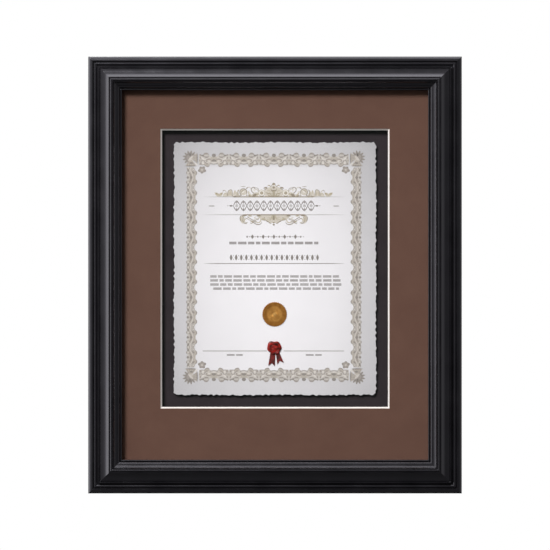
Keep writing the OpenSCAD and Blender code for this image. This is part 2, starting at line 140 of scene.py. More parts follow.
def light_by(tree, slope, steps):
    """A smooth brightness that follows one axis of the ray through these steps."""
    place = tree.nodes.new("ShaderNodeMapRange")
    place.inputs["From Min"].default_value = -1
    tree.links.new(slope, place.inputs["Value"])
    ramp = tree.nodes.new("ShaderNodeValToRGB")
    ramp.color_ramp.interpolation = "EASE"
    stops = ramp.color_ramp.elements
    while len(stops) < len(steps):
        stops.new(0.5)
    for stop, (along, level) in zip(stops, steps):
        stop.position = (along + 1) / 2
        stop.color = (level / BRIGHTEST, level / BRIGHTEST, level / BRIGHTEST, 1)
    tree.links.new(place.outputs["Result"], ramp.inputs["Fac"])
    return ramp.outputs["Color"]


def make_background():
    """White where it is seen, and a soft room lit from the top and the left."""
    world = bpy.data.worlds.new("studio")
    world.use_nodes = True
    tree = world.node_tree
    add = tree.nodes.new
    link = tree.links.new
    glow = tree.nodes["Background"]
    ray = add("ShaderNodeSeparateXYZ")
    link(add("ShaderNodeTexCoord").outputs["Generated"], ray.inputs[0])
    both = add("ShaderNodeMath")
    link(light_by(tree, ray.outputs["Z"], LIGHT_UP), both.inputs[0])
    link(light_by(tree, ray.outputs["X"], LIGHT_RIGHT), both.inputs[1])
    room = add("ShaderNodeMath")
    room.operation = "MULTIPLY"
    link(both.outputs[0], room.inputs[0])
    room.inputs[1].default_value = BRIGHTEST
    seen = add("ShaderNodeMix")
    link(add("ShaderNodeLightPath").outputs["Is Camera Ray"], seen.inputs[0])
    link(room.outputs[0], seen.inputs[2])
    seen.inputs[3].default_value = 1.0
    link(seen.outputs[0], glow.inputs["Strength"])
    glow.inputs["Color"].default_value = (1, 1, 1, 1)
    bpy.context.scene.world = world


for lamp_values in LAMPS:
    softbox(*lamp_values)
make_background()
bpy.context.scene.view_settings.view_transform = "Standard"


# Materials

def srgb(red, green, blue):
    """A colour given as 0 to 255 on a screen, as the shaders take it."""
    def linear(c):
        c = c / 255
        return c / 12.92 if c <= 0.04045 else ((c + 0.055) / 1.055) ** 2.4
    return (linear(red), linear(green), linear(blue), 1)


class Finish:
    """One material, made of nodes on its own Principled shader."""

    def __init__(self, name, roughness=0.5, **sockets):
        self.material = bpy.data.materials.new(name)
        self.material.use_nodes = True
        self.tree = self.material.node_tree
        self.shader = self.tree.nodes["Principled BSDF"]
        self.set(Roughness=roughness, **sockets)

    def feed(self, target, value):
        """Links another node's output to an input, or sets it to a plain value."""
        if isinstance(value, bpy.types.NodeSocket):
            self.tree.links.new(value, target)
        else:
            target.default_value = value

    def set(self, **sockets):
        """Feeds the shader's own inputs, by their names."""
        for label, value in sockets.items():
            self.feed(self.shader.inputs[label.replace("_", " ")], value)
        return self

    def node(self, kind, out, settings=None, **inputs):
        """Adds a node, feeds its inputs by name or place, and gives one output."""
        made = self.tree.nodes.new(kind)
        for label, value in (settings or {}).items():
            setattr(made, label, value)
        for label, value in inputs.items():
            key = int(label[1:]) if label[1:].isdigit() else label.replace("_", " ")
            self.feed(made.inputs[key], value)
        return made.outputs[out]

    def place(self, stretch=(1, 1, 1)):
        """Where a point is on the resting object, with its axes stretched."""
        here = self.node("ShaderNodeTexCoord", "Object")
        return self.node("ShaderNodeMapping", "Vector", Vector=here, Scale=stretch)

    def axis(self, vector, which):
        return self.node("ShaderNodeSeparateXYZ", which, Vector=vector)

    def noise(self, size, detail=3, stretch=(1, 1, 1), roughness=0.55):
        """Cloudy noise from 0 to 1 whose patches are about this size."""
        return self.node("ShaderNodeTexNoise", "Fac", Vector=self.place(stretch),
                         Scale=1 / size, Detail=detail, Roughness=roughness)

    def math(self, how, a, b=0.0, clamp=False):
        return self.node("ShaderNodeMath", 0, {"operation": how, "use_clamp": clamp}, i0=a, i1=b)

    def span(self, value, low, high, to_low=0.0, to_high=1.0, smooth=False):
        """The value, with low to high spread over a new range and held at its ends."""
        kind = "SMOOTHSTEP" if smooth else "LINEAR"
        return self.node("ShaderNodeMapRange", "Result", {"interpolation_type": kind},
                         Value=value, From_Min=low, From_Max=high, To_Min=to_low, To_Max=to_high)

    def mix(self, share, a, b):
        """Colour a at a share of 0, turning to colour b at 1."""
        made = self.tree.nodes.new("ShaderNodeMix")
        made.data_type = "RGBA"
        for key, value in ((0, share), (6, a), (7, b)):
            self.feed(made.inputs[key], value)
        return made.outputs[2]

    def bump(self, height, depth):
        """Raises the surface by a height from 0 to 1 over this depth."""
        raised = self.node("ShaderNodeBump", "Normal", Height=height, Distance=depth, Strength=1.0)
        return self.set(Normal=raised)


GRAIN_STRETCH = 0.05
OVERSPRAY = 1.6 * MM


def lacquered_wood(name, along):
    """Satin black lacquer, and bare wood behind with its grain along one axis."""
    f = Finish(name, Specular_IOR_Level=1.0, Specular_Tint=(0.92, 0.9, 1.0, 1))
    stretch = [1.0, 1.0, 1.0]
    stretch["xyz".index(along)] = GRAIN_STRETCH
    grain = f.noise(1.6 * MM, 5, stretch, 0.6)
    figure = f.noise(9 * MM, 2, stretch)
    wood = f.mix(f.span(figure, 0.35, 0.65), srgb(190, 152, 104), srgb(164, 124, 80))
    wood = f.mix(f.span(grain, 0.5, 0.75), wood, srgb(120, 86, 52))
    facing = f.axis(f.node("ShaderNodeTexCoord", "Normal"), "Y")
    bare = f.span(facing, 0.55, 0.75)
    here = f.place()
    out_x = f.math("SUBTRACT", f.math("ABSOLUTE", f.axis(here, "X")), frame_w / 2)
    up = f.math("SUBTRACT", f.axis(here, "Z"), frame_mid.z)
    out_z = f.math("SUBTRACT", f.math("ABSOLUTE", up), frame_h / 2)
    edge = f.math("MAXIMUM", out_x, out_z)
    ragged = f.math("ADD", edge, f.span(f.noise(3 * MM, 4), 0.3, 0.7, 0, OVERSPRAY))
    sprayed = f.span(ragged, -OVERSPRAY, MM - OVERSPRAY, 1, 0)
    bare = f.math("MULTIPLY", bare, sprayed)
    cloud = f.noise(26 * MM, 3)
    black = f.mix(f.span(cloud, 0.35, 0.65), srgb(12, 11, 14), srgb(16, 15, 18))
    f.set(Base_Color=f.mix(bare, black, wood))
    gloss = f.span(cloud, 0.3, 0.7, 0.2, 0.26)
    f.set(Roughness=f.math("ADD", gloss, f.math("MULTIPLY", bare, 0.4)))
    pores = f.math("MULTIPLY", f.span(grain, 0.45, 0.75), f.span(bare, 0, 1, 0.06, 1))
    return f.bump(pores, 0.08 * MM).material


def clear_glass():
    """Thin clear glass with a faint green body and a few faint smears."""
    smear = Finish("clear_glass", 0.03, IOR=1.5, Specular_IOR_Level=0.5, Alpha=0.03)
    tone = smear.noise(70 * MM, 4)
    smear.set(Base_Color=smear.mix(tone, srgb(52, 66, 60), srgb(66, 78, 72)))
    smear.set(Roughness=smear.span(tone, 0.4, 0.7, 0.02, 0.06))
    return smear.material


BOARD_CLOUDS = 30 * MM


def fibrous(name, light, dark, fibre, depth, roughness):
    """Board or paper: cloudy tone with fine felted fibres."""
    f = Finish(name, roughness, Specular_IOR_Level=0.25)
    felt = f.noise(fibre, 5, (1, 1, 1), 0.7)
    cloud = f.noise(BOARD_CLOUDS)
    tone = f.math("ADD", f.math("MULTIPLY", felt, 0.6), f.math("MULTIPLY", cloud, 0.4))
    f.set(Base_Color=f.mix(f.span(tone, 0.36, 0.64), srgb(*dark), srgb(*light)))
    return f.bump(felt, depth).material


# A pale panel reaches this far out from the sheet's middle, and past it the paper's tone
# falls to the margin's over a short way
PANEL_U = 78 * MM
PANEL_V = 101 * MM
PANEL_FADE = 6 * MM
MARGIN_TONE = 0.81
# Painted light: the sheet's colour is brightest a little below its middle, a painted pool of light,
# and darkens by the square of the way off, painted shade toward its edges
PAINTED_LIGHT_DOWN = 22 * MM
PAINTED_SHADE_ACROSS = 19.0
PAINTED_SHADE_ALONG = 9.0


def certificate_paper():
    """White rag paper, toned darker outside its border, with a painted pool of light a little below
    its middle and painted shade toward its edges.
    """
    f = Finish("deckled_paper", 0.85, Specular_IOR_Level=0.2)
    here = f.place()
    u = f.math("SUBTRACT", f.axis(here, "X"), sheet_mid.x)
    v = f.math("SUBTRACT", f.axis(here, "Z"), sheet_mid.z)
    # Painted light: far grows with the square of the way from a point a little below the middle, and
    # darkens the paper's colour as painted shade
    high = f.math("ADD", v, PAINTED_LIGHT_DOWN)
    far = f.math("ADD", f.math("MULTIPLY", f.math("MULTIPLY", u, u), PAINTED_SHADE_ACROSS),
                 f.math("MULTIPLY", f.math("MULTIPLY", high, high), PAINTED_SHADE_ALONG))
    past_side = f.math("SUBTRACT", f.math("ABSOLUTE", u), PANEL_U)
    past_end = f.math("SUBTRACT", f.math("ABSOLUTE", v), PANEL_V)
    past_panel = f.math("MAXIMUM", past_side, past_end)
    panel = f.span(past_panel, 0, PANEL_FADE, 1, MARGIN_TONE, True)
    # The panel's printed tone, times the painted pool of light and its painted shade
    light = f.math("MULTIPLY", panel, f.math("SUBTRACT", 1.0, far))
    cloud = f.span(f.noise(18 * MM, 4), 0.3, 0.7, 0.985, 1.015)
    pulp = f.span(f.noise(0.5 * MM, 4), 0.3, 0.7, 0.97, 1.03)
    light = f.math("MULTIPLY", light, f.math("MULTIPLY", cloud, pulp), True)
    f.set(Base_Color=f.mix(light, (0, 0, 0, 1), srgb(250, 247, 250)))
    return f.bump(f.noise(0.7 * MM, 5), 0.02 * MM).material


def printed(name, colour):
    """Ink that thins and thickens a little as it does on rough paper."""
    f = Finish(name, 0.6, Specular_IOR_Level=0.25)
    thin = f.span(f.noise(0.8 * MM, 3), 0.3, 0.7, 0.0, 0.22)
    f.set(Base_Color=f.mix(thin, colour, srgb(225, 222, 220)))
    return f.bump(f.noise(0.4 * MM, 3), 0.01 * MM).material


# Where the foil's painted glow in the middle ends and where its ring of painted shade begins, from the
# seal's middle
PAINTED_GLOW_TO = (0.4 * MM, 2.6 * MM)
PAINTED_SHADE_RING_FROM = (6.6 * MM, 8.8 * MM)


def gold_leaf():
    """Embossed gold foil, with a painted glow in the middle and painted shade in a ring near its edge.
    """
    f = Finish("gold_foil", 0.5, Metallic=0.8)
    hub = middle("gold_seal")
    reach = f.node("ShaderNodeVectorMath", "Value", {"operation": "DISTANCE"}, i0=f.place(), i1=hub)
    tone = f.span(f.noise(2.4 * MM, 4), 0.35, 0.65)
    field = f.mix(tone, srgb(178, 124, 54), srgb(204, 150, 76))
    # Painted shade: ring is a darker gold for the band near the edge
    ring = f.mix(tone, srgb(150, 96, 34), srgb(174, 120, 50))
    # Painted highlight: a brighter gold over the middle stands for a glow of light on the foil
    gilt_with_painted_glow = f.mix(f.span(reach, *PAINTED_GLOW_TO), srgb(228, 176, 100), field)
    f.set(Base_Color=f.mix(f.span(reach, *PAINTED_SHADE_RING_FROM), gilt_with_painted_glow, ring))
    f.set(Roughness=f.span(f.noise(1.2 * MM, 3), 0.3, 0.7, 0.48, 0.62))
    return f.bump(f.noise(0.25 * MM, 2), 0.012 * MM).material


def poured_wax():
    """Glossy red wax with darker streaks where it cooled."""
    f = Finish("sealing_wax", 0.4, Subsurface_Weight=0.06, Subsurface_Scale=MM, Specular_IOR_Level=0.3)
    streak = f.noise(4 * MM, 3, (1, 1, 1.6))
    f.set(Base_Color=f.mix(f.span(streak, 0.38, 0.62), srgb(72, 8, 4), srgb(162, 26, 18)))
    f.set(Roughness=f.span(f.noise(1.5 * MM, 3), 0.3, 0.7, 0.32, 0.5))
    return f.bump(f.noise(1.2 * MM, 4), 0.05 * MM).material


RIB_SCALE = 1.6 * MM


def woven_ribbon():
    """Red ribbon with the fine cross ribs of its weave."""
    f = Finish("red_ribbon", 0.55, Sheen_Weight=0.1, Sheen_Roughness=0.4, Specular_IOR_Level=0.3)
    ribs = f.node("ShaderNodeTexWave", "Fac", {"bands_direction": "Z"},
                  Vector=f.place(), Scale=1 / RIB_SCALE, Distortion=0.6, Detail=2.0)
    shade = f.noise(5 * MM, 3)
    red = f.mix(f.span(shade, 0.35, 0.65), srgb(70, 22, 14), srgb(134, 26, 24))
    f.set(Base_Color=f.mix(f.math("MULTIPLY", ribs, 0.3), red, srgb(58, 10, 10)))
    return f.bump(ribs, 0.03 * MM).material


def plated_steel(name, light, dark, grain, roughness):
    """Metal with a faint cloudy bloom and fine tumbling marks."""
    f = Finish(name, roughness, Metallic=1.0)
    bloom = f.noise(5 * MM, 4)
    f.set(Base_Color=f.mix(f.span(bloom, 0.35, 0.65), srgb(*dark), srgb(*light)))
    f.set(Roughness=f.span(f.noise(2 * MM, 3), 0.3, 0.7, roughness - 0.07, roughness + 0.1))
    return f.bump(f.noise(grain, 3), 0.015 * MM).material


def rubber():
    """Dull black rubber with a fine moulded skin."""
    f = Finish("black_rubber", 0.7, Specular_IOR_Level=0.35)
    tone = f.noise(3 * MM, 4)
    f.set(Base_Color=f.mix(tone, srgb(20, 20, 21), srgb(38, 38, 39)))
    return f.bump(f.noise(0.3 * MM, 3), 0.03 * MM).material


finishes = {
    "clear_glass": clear_glass(),
    "deckled_paper": certificate_paper(),
    "gold_foil": gold_leaf(),
    "sealing_wax": poured_wax(),
    "red_ribbon": woven_ribbon(),
    "black_rubber": rubber(),
}
# Each board: its light and dark tone, the size of its fibres, their depth, its roughness
BOARDS = {
    "brown_mat_paper": ((104, 75, 63), (95, 67, 56), 0.5 * MM, 0.03 * MM, 0.9),
    "white_mat_core": ((240, 233, 228), (230, 223, 218), 0.4 * MM, 0.04 * MM, 0.9),
    "foam_board": ((44, 43, 45), (34, 33, 35), 0.8 * MM, 0.05 * MM, 0.9),
    "black_mount_board": ((52, 44, 48), (42, 34, 38), 0.6 * MM, 0.05 * MM, 0.9),
    "hardboard": ((142, 104, 70), (104, 72, 46), 1.1 * MM, 0.08 * MM, 0.75),
}
# Each metal: its light and dark tone, the size of its tumbling marks, its roughness
METALS = {
    "zinc_plated_steel": ((206, 208, 212), (180, 184, 190), 0.5 * MM, 0.34),
    "bright_steel": ((198, 197, 194), (160, 159, 156), 0.4 * MM, 0.3),
}
for board, values in BOARDS.items():
    finishes[board] = fibrous(board, *values)
for metal, values in METALS.items():
    finishes[metal] = plated_steel(metal, *values)
lacquer_across = lacquered_wood("lacquered_moulding_across", "x")
lacquer_upright = lacquered_wood("lacquered_moulding_upright", "z")


def slot_of(node):
    """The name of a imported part's material slot, which its mesh came with."""
    return nodes[node].data.materials[0].name.split(".")[0]


slots = {node: slot_of(node) for node in nodes}


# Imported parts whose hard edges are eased, as sanding, paint and tumbling do

WELD = 0.002 * MM
FLAT_WITHIN = math.radians(0.4)
HARD_OVER = math.radians(32)
RAIL_EDGE = 0.16 * MM
METAL_EDGE = 0.12 * MM
RUBBER_EDGE = 0.35 * MM
LARGE_FACES_LEAD = 60


def eased(node, width, material):
    """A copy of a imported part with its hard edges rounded, which stands for it."""
    bm = bmesh.new()
    bm.from_mesh(nodes[node].data)
    bmesh.ops.remove_doubles(bm, verts=bm.verts, dist=WELD)
    bmesh.ops.dissolve_limit(bm, angle_limit=FLAT_WITHIN, verts=bm.verts, edges=bm.edges)
    hard = [e for e in bm.edges if e.is_manifold and e.calc_face_angle() > HARD_OVER]
    bmesh.ops.bevel(bm, geom=hard, offset=width, segments=2, profile=0.5, affect="EDGES",
                    clamp_overlap=True)
    for face in bm.faces:
        face.smooth = True
    piece = add_piece(node + "_finished", bm, material)
    piece.modifiers.new("large_faces_lead", "WEIGHTED_NORMAL").weight = LARGE_FACES_LEAD
    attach(piece, body_of_node(node))
    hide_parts(node)


def add_piece(name, bm, material):
    """Turns a bmesh into a named object with its material."""
    mesh = bpy.data.meshes.new(name)
    bm.to_mesh(mesh)
    bm.free()
    mesh.materials.append(material)
    piece = bpy.data.objects.new(name, mesh)
    bpy.context.collection.objects.link(piece)
    return piece


def body_of_node(node):
    return nodes[node]["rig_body"]


for rail in ("rail_top", "rail_bottom"):
    eased(rail, RAIL_EDGE, lacquer_across)
for rail in ("rail_left", "rail_right"):
    eased(rail, RAIL_EDGE, lacquer_upright)
for part in nodes:
    if part.startswith("turn_button_") or part in ("sawtooth_hanger", "hanger_nails"):
        eased(part, METAL_EDGE, finishes[slots[part]])
    elif part.startswith("bumper_"):
        eased(part, RUBBER_EDGE, finishes[slots[part]])
    elif not part.startswith("rail_"):
        nodes[part].data.materials[0] = finishes[slots[part]]


# The print: thin layers of ink on the sheet, which rest one above another

PRINT_UP = 1.3
PRINT_RIGHT = -1.1
SUNK = 0.006 * MM
INK_STEP = 0.014 * MM
SHAPE_STEP = 0.001 * MM
SHAPE_LEVELS = 11


class Ink:
    """Flat shapes of one ink, in millimetres, gathered into one thin raised layer."""

    def __init__(self, name, layer, *colour):
        self.name = "print_" + name
        self.level = sheet_front - layer * INK_STEP
        self.shapes = 0
        self.bm = bmesh.new()
        self.material = printed(self.name, srgb(*colour))

    def vertex(self, point, level):
        u, v = point
        x = sheet_mid.x + (u + PRINT_RIGHT) * MM
        z = sheet_mid.z + (v + PRINT_UP) * MM
        return self.bm.verts.new((x, level, z))

    def next_top(self):
        """Each shape stands a hair above the last, so that no two share a plane."""
        self.shapes += 1
        return self.level - self.shapes % SHAPE_LEVELS * SHAPE_STEP

    def band(self, left, right, closed=False):
        """A solid strip between two rows of points, joined end to start if closed."""
        rows = []
        for level in (self.next_top(), sheet_front + SUNK):
            rows.append([self.vertex(p, level) for p in left])
            rows.append([self.vertex(p, level) for p in right])
        count = len(left)
        steps = range(count if closed else count - 1)
        for a, b in ((0, 1), (3, 2), (1, 3), (2, 0)):
            for i in steps:
                j = (i + 1) % count
                self.bm.faces.new((rows[a][i], rows[a][j], rows[b][j], rows[b][i]))
        if not closed:
            for i in (0, count - 1):
                self.bm.faces.new([rows[k][i] for k in (0, 1, 3, 2)])

    def fill(self, outline):
        """A solid patch inside a closed outline."""
        top = self.next_top()
        front = [self.vertex(p, top) for p in outline]
        rear = [self.vertex(p, sheet_front + SUNK) for p in outline]
        self.bm.faces.new(front)
        self.bm.faces.new(rear[::-1])
        for i in range(len(outline)):
            j = (i + 1) % len(outline)
            self.bm.faces.new((front[i], rear[i], rear[j], front[j]))

    def dry(self):
        """Ends the layer and lays it on the sheet."""
        bmesh.ops.recalc_face_normals(self.bm, faces=self.bm.faces)
        piece = add_piece(self.name, self.bm, self.material)
        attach(piece, body_of_node("certificate_sheet"))


def polar(r, angle):
    """The point at a radius and an angle in degrees."""
    a = math.radians(angle)
    return (r * math.cos(a), r * math.sin(a))


def arc(x, y, r_start, r_end, a_start, a_end, steps=None):
    """Points on an arc, or on a spiral where its radius changes. Angles in degrees."""
    steps = steps or max(4, round(abs(a_end - a_start) / 20))
    points = []
    for i in range(steps + 1):
        t = i / steps
        dx, dy = polar(r_start + (r_end - r_start) * t, a_start + (a_end - a_start) * t)
        points.append((x + dx, y + dy))
    return points


def curve(start, pull, end, steps=8):
    """Points on a curve from start to end that leans toward pull."""
    points = []
    for i in range(steps + 1):
        t = i / steps
        shares = ((1 - t) ** 2, 2 * t * (1 - t), t ** 2)
        ways = list(zip(shares, (start, pull, end)))
        points.append(tuple(sum(share * p[k] for share, p in ways) for k in (0, 1)))
    return points


# How a stroke's width changes from its start, 0, to its end, 1
EVEN = lambda t: 1.0
TAPER = lambda t: 1.0 - 0.85 * t
LEAF = lambda t: 0.06 + math.sin(math.pi * t) ** 0.8


class Pen:
    """Draws in its own axes: set down at a place, turned, and mirrored by a flip of -1."""

    def __init__(self, u, v, turn=0, flip=1):
        self.u, self.v, self.flip = u, v, flip
        self.c, self.s = polar(1, turn)

    def both_ways(self, draw):
        """Draws once as it is and once mirrored."""
        other = Pen(self.u, self.v, 0, -self.flip)
        other.c, other.s = self.c, self.s
        draw(self)
        draw(other)

    def at(self, point):
        x, y = point[0] * self.flip, point[1]
        return (self.u + self.c * x - self.s * y, self.v + self.s * x + self.c * y)

    def stroke(self, ink, points, width, shape=EVEN):
        """A line of the given width along the points, whose width follows its shape."""
        left, right = [], []
        last = len(points) - 1
        for i, (x, y) in enumerate(points):
            x0, y0 = points[max(i - 1, 0)]
            x1, y1 = points[min(i + 1, last)]
            run = math.hypot(x1 - x0, y1 - y0) or 1.0
            half = width * shape(i / last) / 2
            dx, dy = -(y1 - y0) / run * half, (x1 - x0) / run * half
            left.append(self.at((x + dx, y + dy)))
            right.append(self.at((x - dx, y - dy)))
        ink.band(left, right)

    def bow(self, ink, start, pull, end, width, shape=EVEN):
        """A line from start to end that leans toward pull."""
        self.stroke(ink, curve(start, pull, end), width, shape)

    def leaf(self, ink, start, end, width, lean=0.0):
        """A pointed leaf from start to end, bowed to one side by a share of its length."""
        (x0, y0), (x1, y1) = start, end
        pull = ((x0 + x1) / 2 - (y1 - y0) * lean * 2, (y0 + y1) / 2 + (x1 - x0) * lean * 2)
        self.bow(ink, start, pull, end, width, LEAF)

    def dot(self, ink, x, y, r, steps=14):
        ink.fill([self.at(p) for p in arc(x, y, r, r, 0, 360, steps)[:-1]])

    def ring(self, ink, x, y, r, width, steps):
        edges = []
        for reach in (r + width / 2, r - width / 2):
            edges.append([self.at(p) for p in arc(x, y, reach, reach, 0, 360, steps)[:-1]])
        ink.band(*edges, closed=True)

    def patch(self, ink, points):
        ink.fill([self.at(p) for p in points])


tint = Ink("tint", 1, 198, 191, 184)
tan = Ink("tan", 2, 184, 174, 162)
grey = Ink("grey", 3, 156, 147, 140)
dark = Ink("dark", 4, 136, 128, 121)
soft = Ink("soft", 4, 206, 198, 191)
pale = Ink("pale", 5, 220, 213, 207)
sand = Ink("gold_tint", 1, 212, 203, 190)
ochre = Ink("gold_tone", 2, 186, 174, 148)
bronze = Ink("gold_line", 3, 142, 129, 108)
cream = Ink("gold_pale", 4, 236, 230, 222)
word = Ink("heading", 1, 124, 116, 110)
small = Ink("small_lines", 2, 116, 109, 105)
rules = Ink("rules", 3, 146, 140, 133)
inks = (tint, tan, grey, dark, soft, pale, sand, ochre, bronze, cream, word, small, rules)


# The scroll border. Its bands are drawn with x along the band and y inward
# from the band's outer edge, from the middle of one repeat.

END_PITCH = 30.17
END_UNITS = 5
END_EDGE = 115.3
SIDE_PITCH = 20.08
SIDE_UNITS = 10
SIDE_EDGE = 88.6
STAR_U = 84.35
STAR_V = 110.17
FLOWER_IN = 12.1


def end_half(pen):
    """The right half of one repeat of the top or bottom band."""
    half = END_PITCH / 2
    pen.patch(tint, [(0, 4), (3.4, 3.8), (5.6, 1.4), (9.8, 1.4), (12, 2.2), (half, 1.8),
                     (half, 5.4), (half, 11.4), (9.8, 12.4), (6.4, 13.6), (4.2, 12.4),
                     (2.8, 11.4), (0, 11.6)])
    pen.patch(tan, [(half, 6.4), (half, 9), (13.4, 8.8), (12.8, 7)])
    pen.patch(tan, curve((0, 4.2), (6.4, 4.2), (8.8, 7.2)) + curve((8.4, 8.4), (7.4, 10.4), (0, 8.8)))
    pen.patch(tan, [(9, 9.2), (9.8, 11.6), (8.6, 13), (5.2, 13.2), (4.4, 11.8), (5.6, 10.4)])
    pen.stroke(grey, arc(7.7, 2.8, 2.7, 2.5, 20, -140, 12) + [(5.1, 2.8)], 0.7)
    pen.bow(grey, (5.2, 2.1), (7.2, 0.1), (10.2, 2.2), 1.2, LEAF)
    pen.bow(grey, (4.9, 3.6), (7.2, 5.6), (10.3, 3.6), 1.7, LEAF)
    pen.stroke(pale, [(5.9, 2.7), (9.4, 2.8)], 0.7, LEAF)
    pen.dot(dark, 10.8, 3, 1, 12)
    pen.stroke(dark, [(10.4, 3.1), (half - 0.4, 2.1)], 1.8, TAPER)
    pen.dot(grey, 13.5, 2.2, 0.85, 10)
    pen.leaf(pale, (12.6, 4.2), (8.8, 7.3), 1.6, -0.1)
    pen.bow(grey, (13.6, 3.4), (14.4, 6), (12.2, 6.4), 0.9, LEAF)
    pen.dot(grey, 13.5, 5.1, 0.8, 10)
    scroll = curve((3, 5.3), (7.6, 5), (8.9, 7.6)) + curve((8.8, 8.4), (7.8, 10.2), (4.2, 10.3))
    pen.stroke(pale, scroll, 0.6)
    pen.bow(grey, (2, 6.8), (5.8, 5.6), (7.8, 7.4), 1.3, LEAF)
    pen.bow(grey, (7.9, 6.9), (8.1, 8.5), (6.6, 9.3), 0.8, LEAF)
    pen.leaf(pale, (3.1, 8.9), (6.5, 8.5), 1.5, -0.08)
    pen.leaf(grey, (9.8, 7.4), (6.6, 10.4), 2.2, -0.08)
    pen.leaf(dark, (9.2, 8.3), (7.4, 9.9), 0.9)
    pen.bow(grey, (12.9, 9.4), (12.6, 7.4), (10.2, 7.7), 0.8)
    pen.patch(pale, [(11.1, 8.6), (12, 10.2), (11.4, 11.5), (9.9, 11.5), (10, 10)])
    pen.dot(grey, 13.3, 10.7, 1, 10)
    pen.bow(grey, (half - 0.4, 11.9), (11.4, 12.5), (9, 11.9), 0.7)
    crown = curve((9.6, 11.4), (9.2, 13.4), (6.8, 13.8)) + curve((6, 13.9), (4.8, 13.6), (4.3, 12.2))
    pen.stroke(grey, crown, 1.1, LEAF)
    pen.dot(grey, 6.9, 11.2, 0.8, 10)
    pen.bow(grey, (0, 11.6), (1.8, 11.4), (4.2, 10.8), 0.8)
    pen.dot(grey, half - 0.9, 8, 0.5, 8)


def end_unit(pen):
    """One repeat of the top or bottom band, with its middle palmette."""
    pen.both_ways(end_half)
    pen.stroke(tan, [(0, 3.6), (0, 6.4)], 3.4)
    pen.patch(dark, [(-2.2, 2.7), (-1.5, 4), (0, 4.6), (1.5, 4), (2.2, 2.7), (1.5, 1.4),
                     (0, 0.9), (-1.5, 1.4)])
    pen.patch(dark, curve((-2.8, 8.2), (0, 4.8), (2.8, 8.2), 8) + [(1.6, 8.8), (0, 9), (-1.6, 8.8)])
    pen.leaf(pale, (-2.7, 9.9), (2.7, 9.9), 1.2, 0.06)


def side_half(pen):
    """The right half of one repeat of a side band."""
    half = SIDE_PITCH / 2
    pen.patch(tint, [(0, 1), (2.2, 1.8), (3.8, 0.8), (6.4, 1.1), (half, 1.4), (half, 8.6),
                     (7.8, 9.2), (6, 10.8), (4, 11), (2.2, 10), (0, 9.8)])
    pen.patch(tan, [(1.4, 3.8), (half, 3.2), (half, 4.8), (6.6, 5), (3.4, 6.8), (0.8, 7)])
    pen.patch(tan, [(0, 7.8), (3, 7.8), (6.8, 8.4), (6, 10.4), (4, 10.6), (2.4, 9.8), (0, 9.4)])
    pen.bow(grey, (3.2, 1.7), (4.6, 0.1), (6.5, 1.5), 1.1, LEAF)
    pen.bow(grey, (3.3, 2), (3.6, 4.8), (6.6, 4.2), 1, LEAF)
    pen.dot(soft, 4.9, 2.8, 0.7, 12)
    pen.leaf(dark, (5.6, 2.7), (9.2, 2), 1.8)
    pen.stroke(grey, [(8.2, 1.4), (half, 1.2)], 0.6)
    pen.stroke(grey, [(8.4, 3.8), (half, 3.9)], 0.6)
    pen.dot(soft, half, 2.6, 0.7, 10)
    pen.leaf(grey, (0.8, 5.4), (4.4, 3.6), 1.4, 0.1)
    wave = curve((half, 5.4), (8.4, 3.7), (6.6, 4.6), 6) + curve((6, 4.9), (3.6, 7), (0, 7.3))
    pen.stroke(soft, wave, 1)
    vein = curve((half, 6.4), (8.4, 4.9), (7, 5.5), 6) + curve((6.4, 5.8), (3.8, 7.9), (0, 8.3))
    pen.stroke(grey, vein, 0.4)
    pen.leaf(grey, (6.6, 6.3), (4.2, 9.1), 2, 0.12)
    pen.leaf(dark, (6.2, 6.9), (4.7, 8.7), 0.8, 0.12)
    pen.dot(soft, 8, 7.6, 0.8, 12)
    pen.ring(grey, 8, 7.6, 1.15, 0.45, 14)
    pen.dot(grey, 9.7, 7.4, 0.5, 8)
    pen.bow(grey, (7.2, 9.3), (4.6, 12.4), (1.8, 9.6), 1.1, LEAF)


def side_unit(pen):
    """One repeat of a side band, with its middle stud and drop."""
    pen.both_ways(side_half)
    pen.dot(dark, 0, 2.05, 1.25)
    pen.leaf(grey, (-2.6, 5.2), (2.6, 5.2), 2.4)
    pen.dot(dark, 0, 5.5, 1.3, 14)


STAR_RAYS = 7
FIRST_RAY = -49.6
RAY_TURN = 29.2


def corner_star(pen):
    """A corner's star, x toward the end band's middle and y toward the side band's."""
    for i in range(STAR_RAYS):
        ray = FIRST_RAY - RAY_TURN * i
        pen.leaf(grey, polar(2.4, ray), polar(7.6, ray), 2)
        pen.leaf(dark, polar(3.6, ray), polar(7.5, ray), 1.1)
        between = ray - RAY_TURN / 2
        pen.stroke(grey, [polar(2, between), polar(5, between)], 1.5)
    pen.patch(grey, arc(0, 0, 5.2, 5.2, -35, -240, 20) + [(0, 0)])
    pen.stroke(dark, arc(0, 0, 4, 4, -40, -235, 18), 1.1)
    pen.patch(tan, [(2.6, -2.2), (6.8, -4.6), (6.8, 5.4), (3.6, 2.4), (1.4, 1.6)])
    pen.patch(tan, [(-1.4, 2.8), (1.4, 1.8), (6.2, 7.8), (-4.4, 7.8)])
    for y in (-2.9, -0.8, 1.3, 3.4):
        pen.stroke(grey, [(3.2, y * 0.6), (6.6, y)], 0.7)
    for x in (-3, -0.4, 2.2, 4.6):
        pen.stroke(grey, [(x * 0.4, 4), (x, 7.7)], 0.7)
    pen.leaf(dark, (7.2, -5.3), (7.2, 6.2), 1.2)
    pen.leaf(dark, (-5.3, 8.2), (6.6, 8.2), 1.2)
    pen.leaf(soft, (3.3, -2.2), (-1.9, 3.1), 2)
    pen.bow(soft, (3.5, 4.1), (2.4, 0.6), (-0.3, 2.6), 0.7)
    pen.leaf(dark, (-0.4, 5.4), (3.2, 5.2), 1.9)
    pen.leaf(pale, (4.3, 4.6), (8.2, 7.8), 1.3)


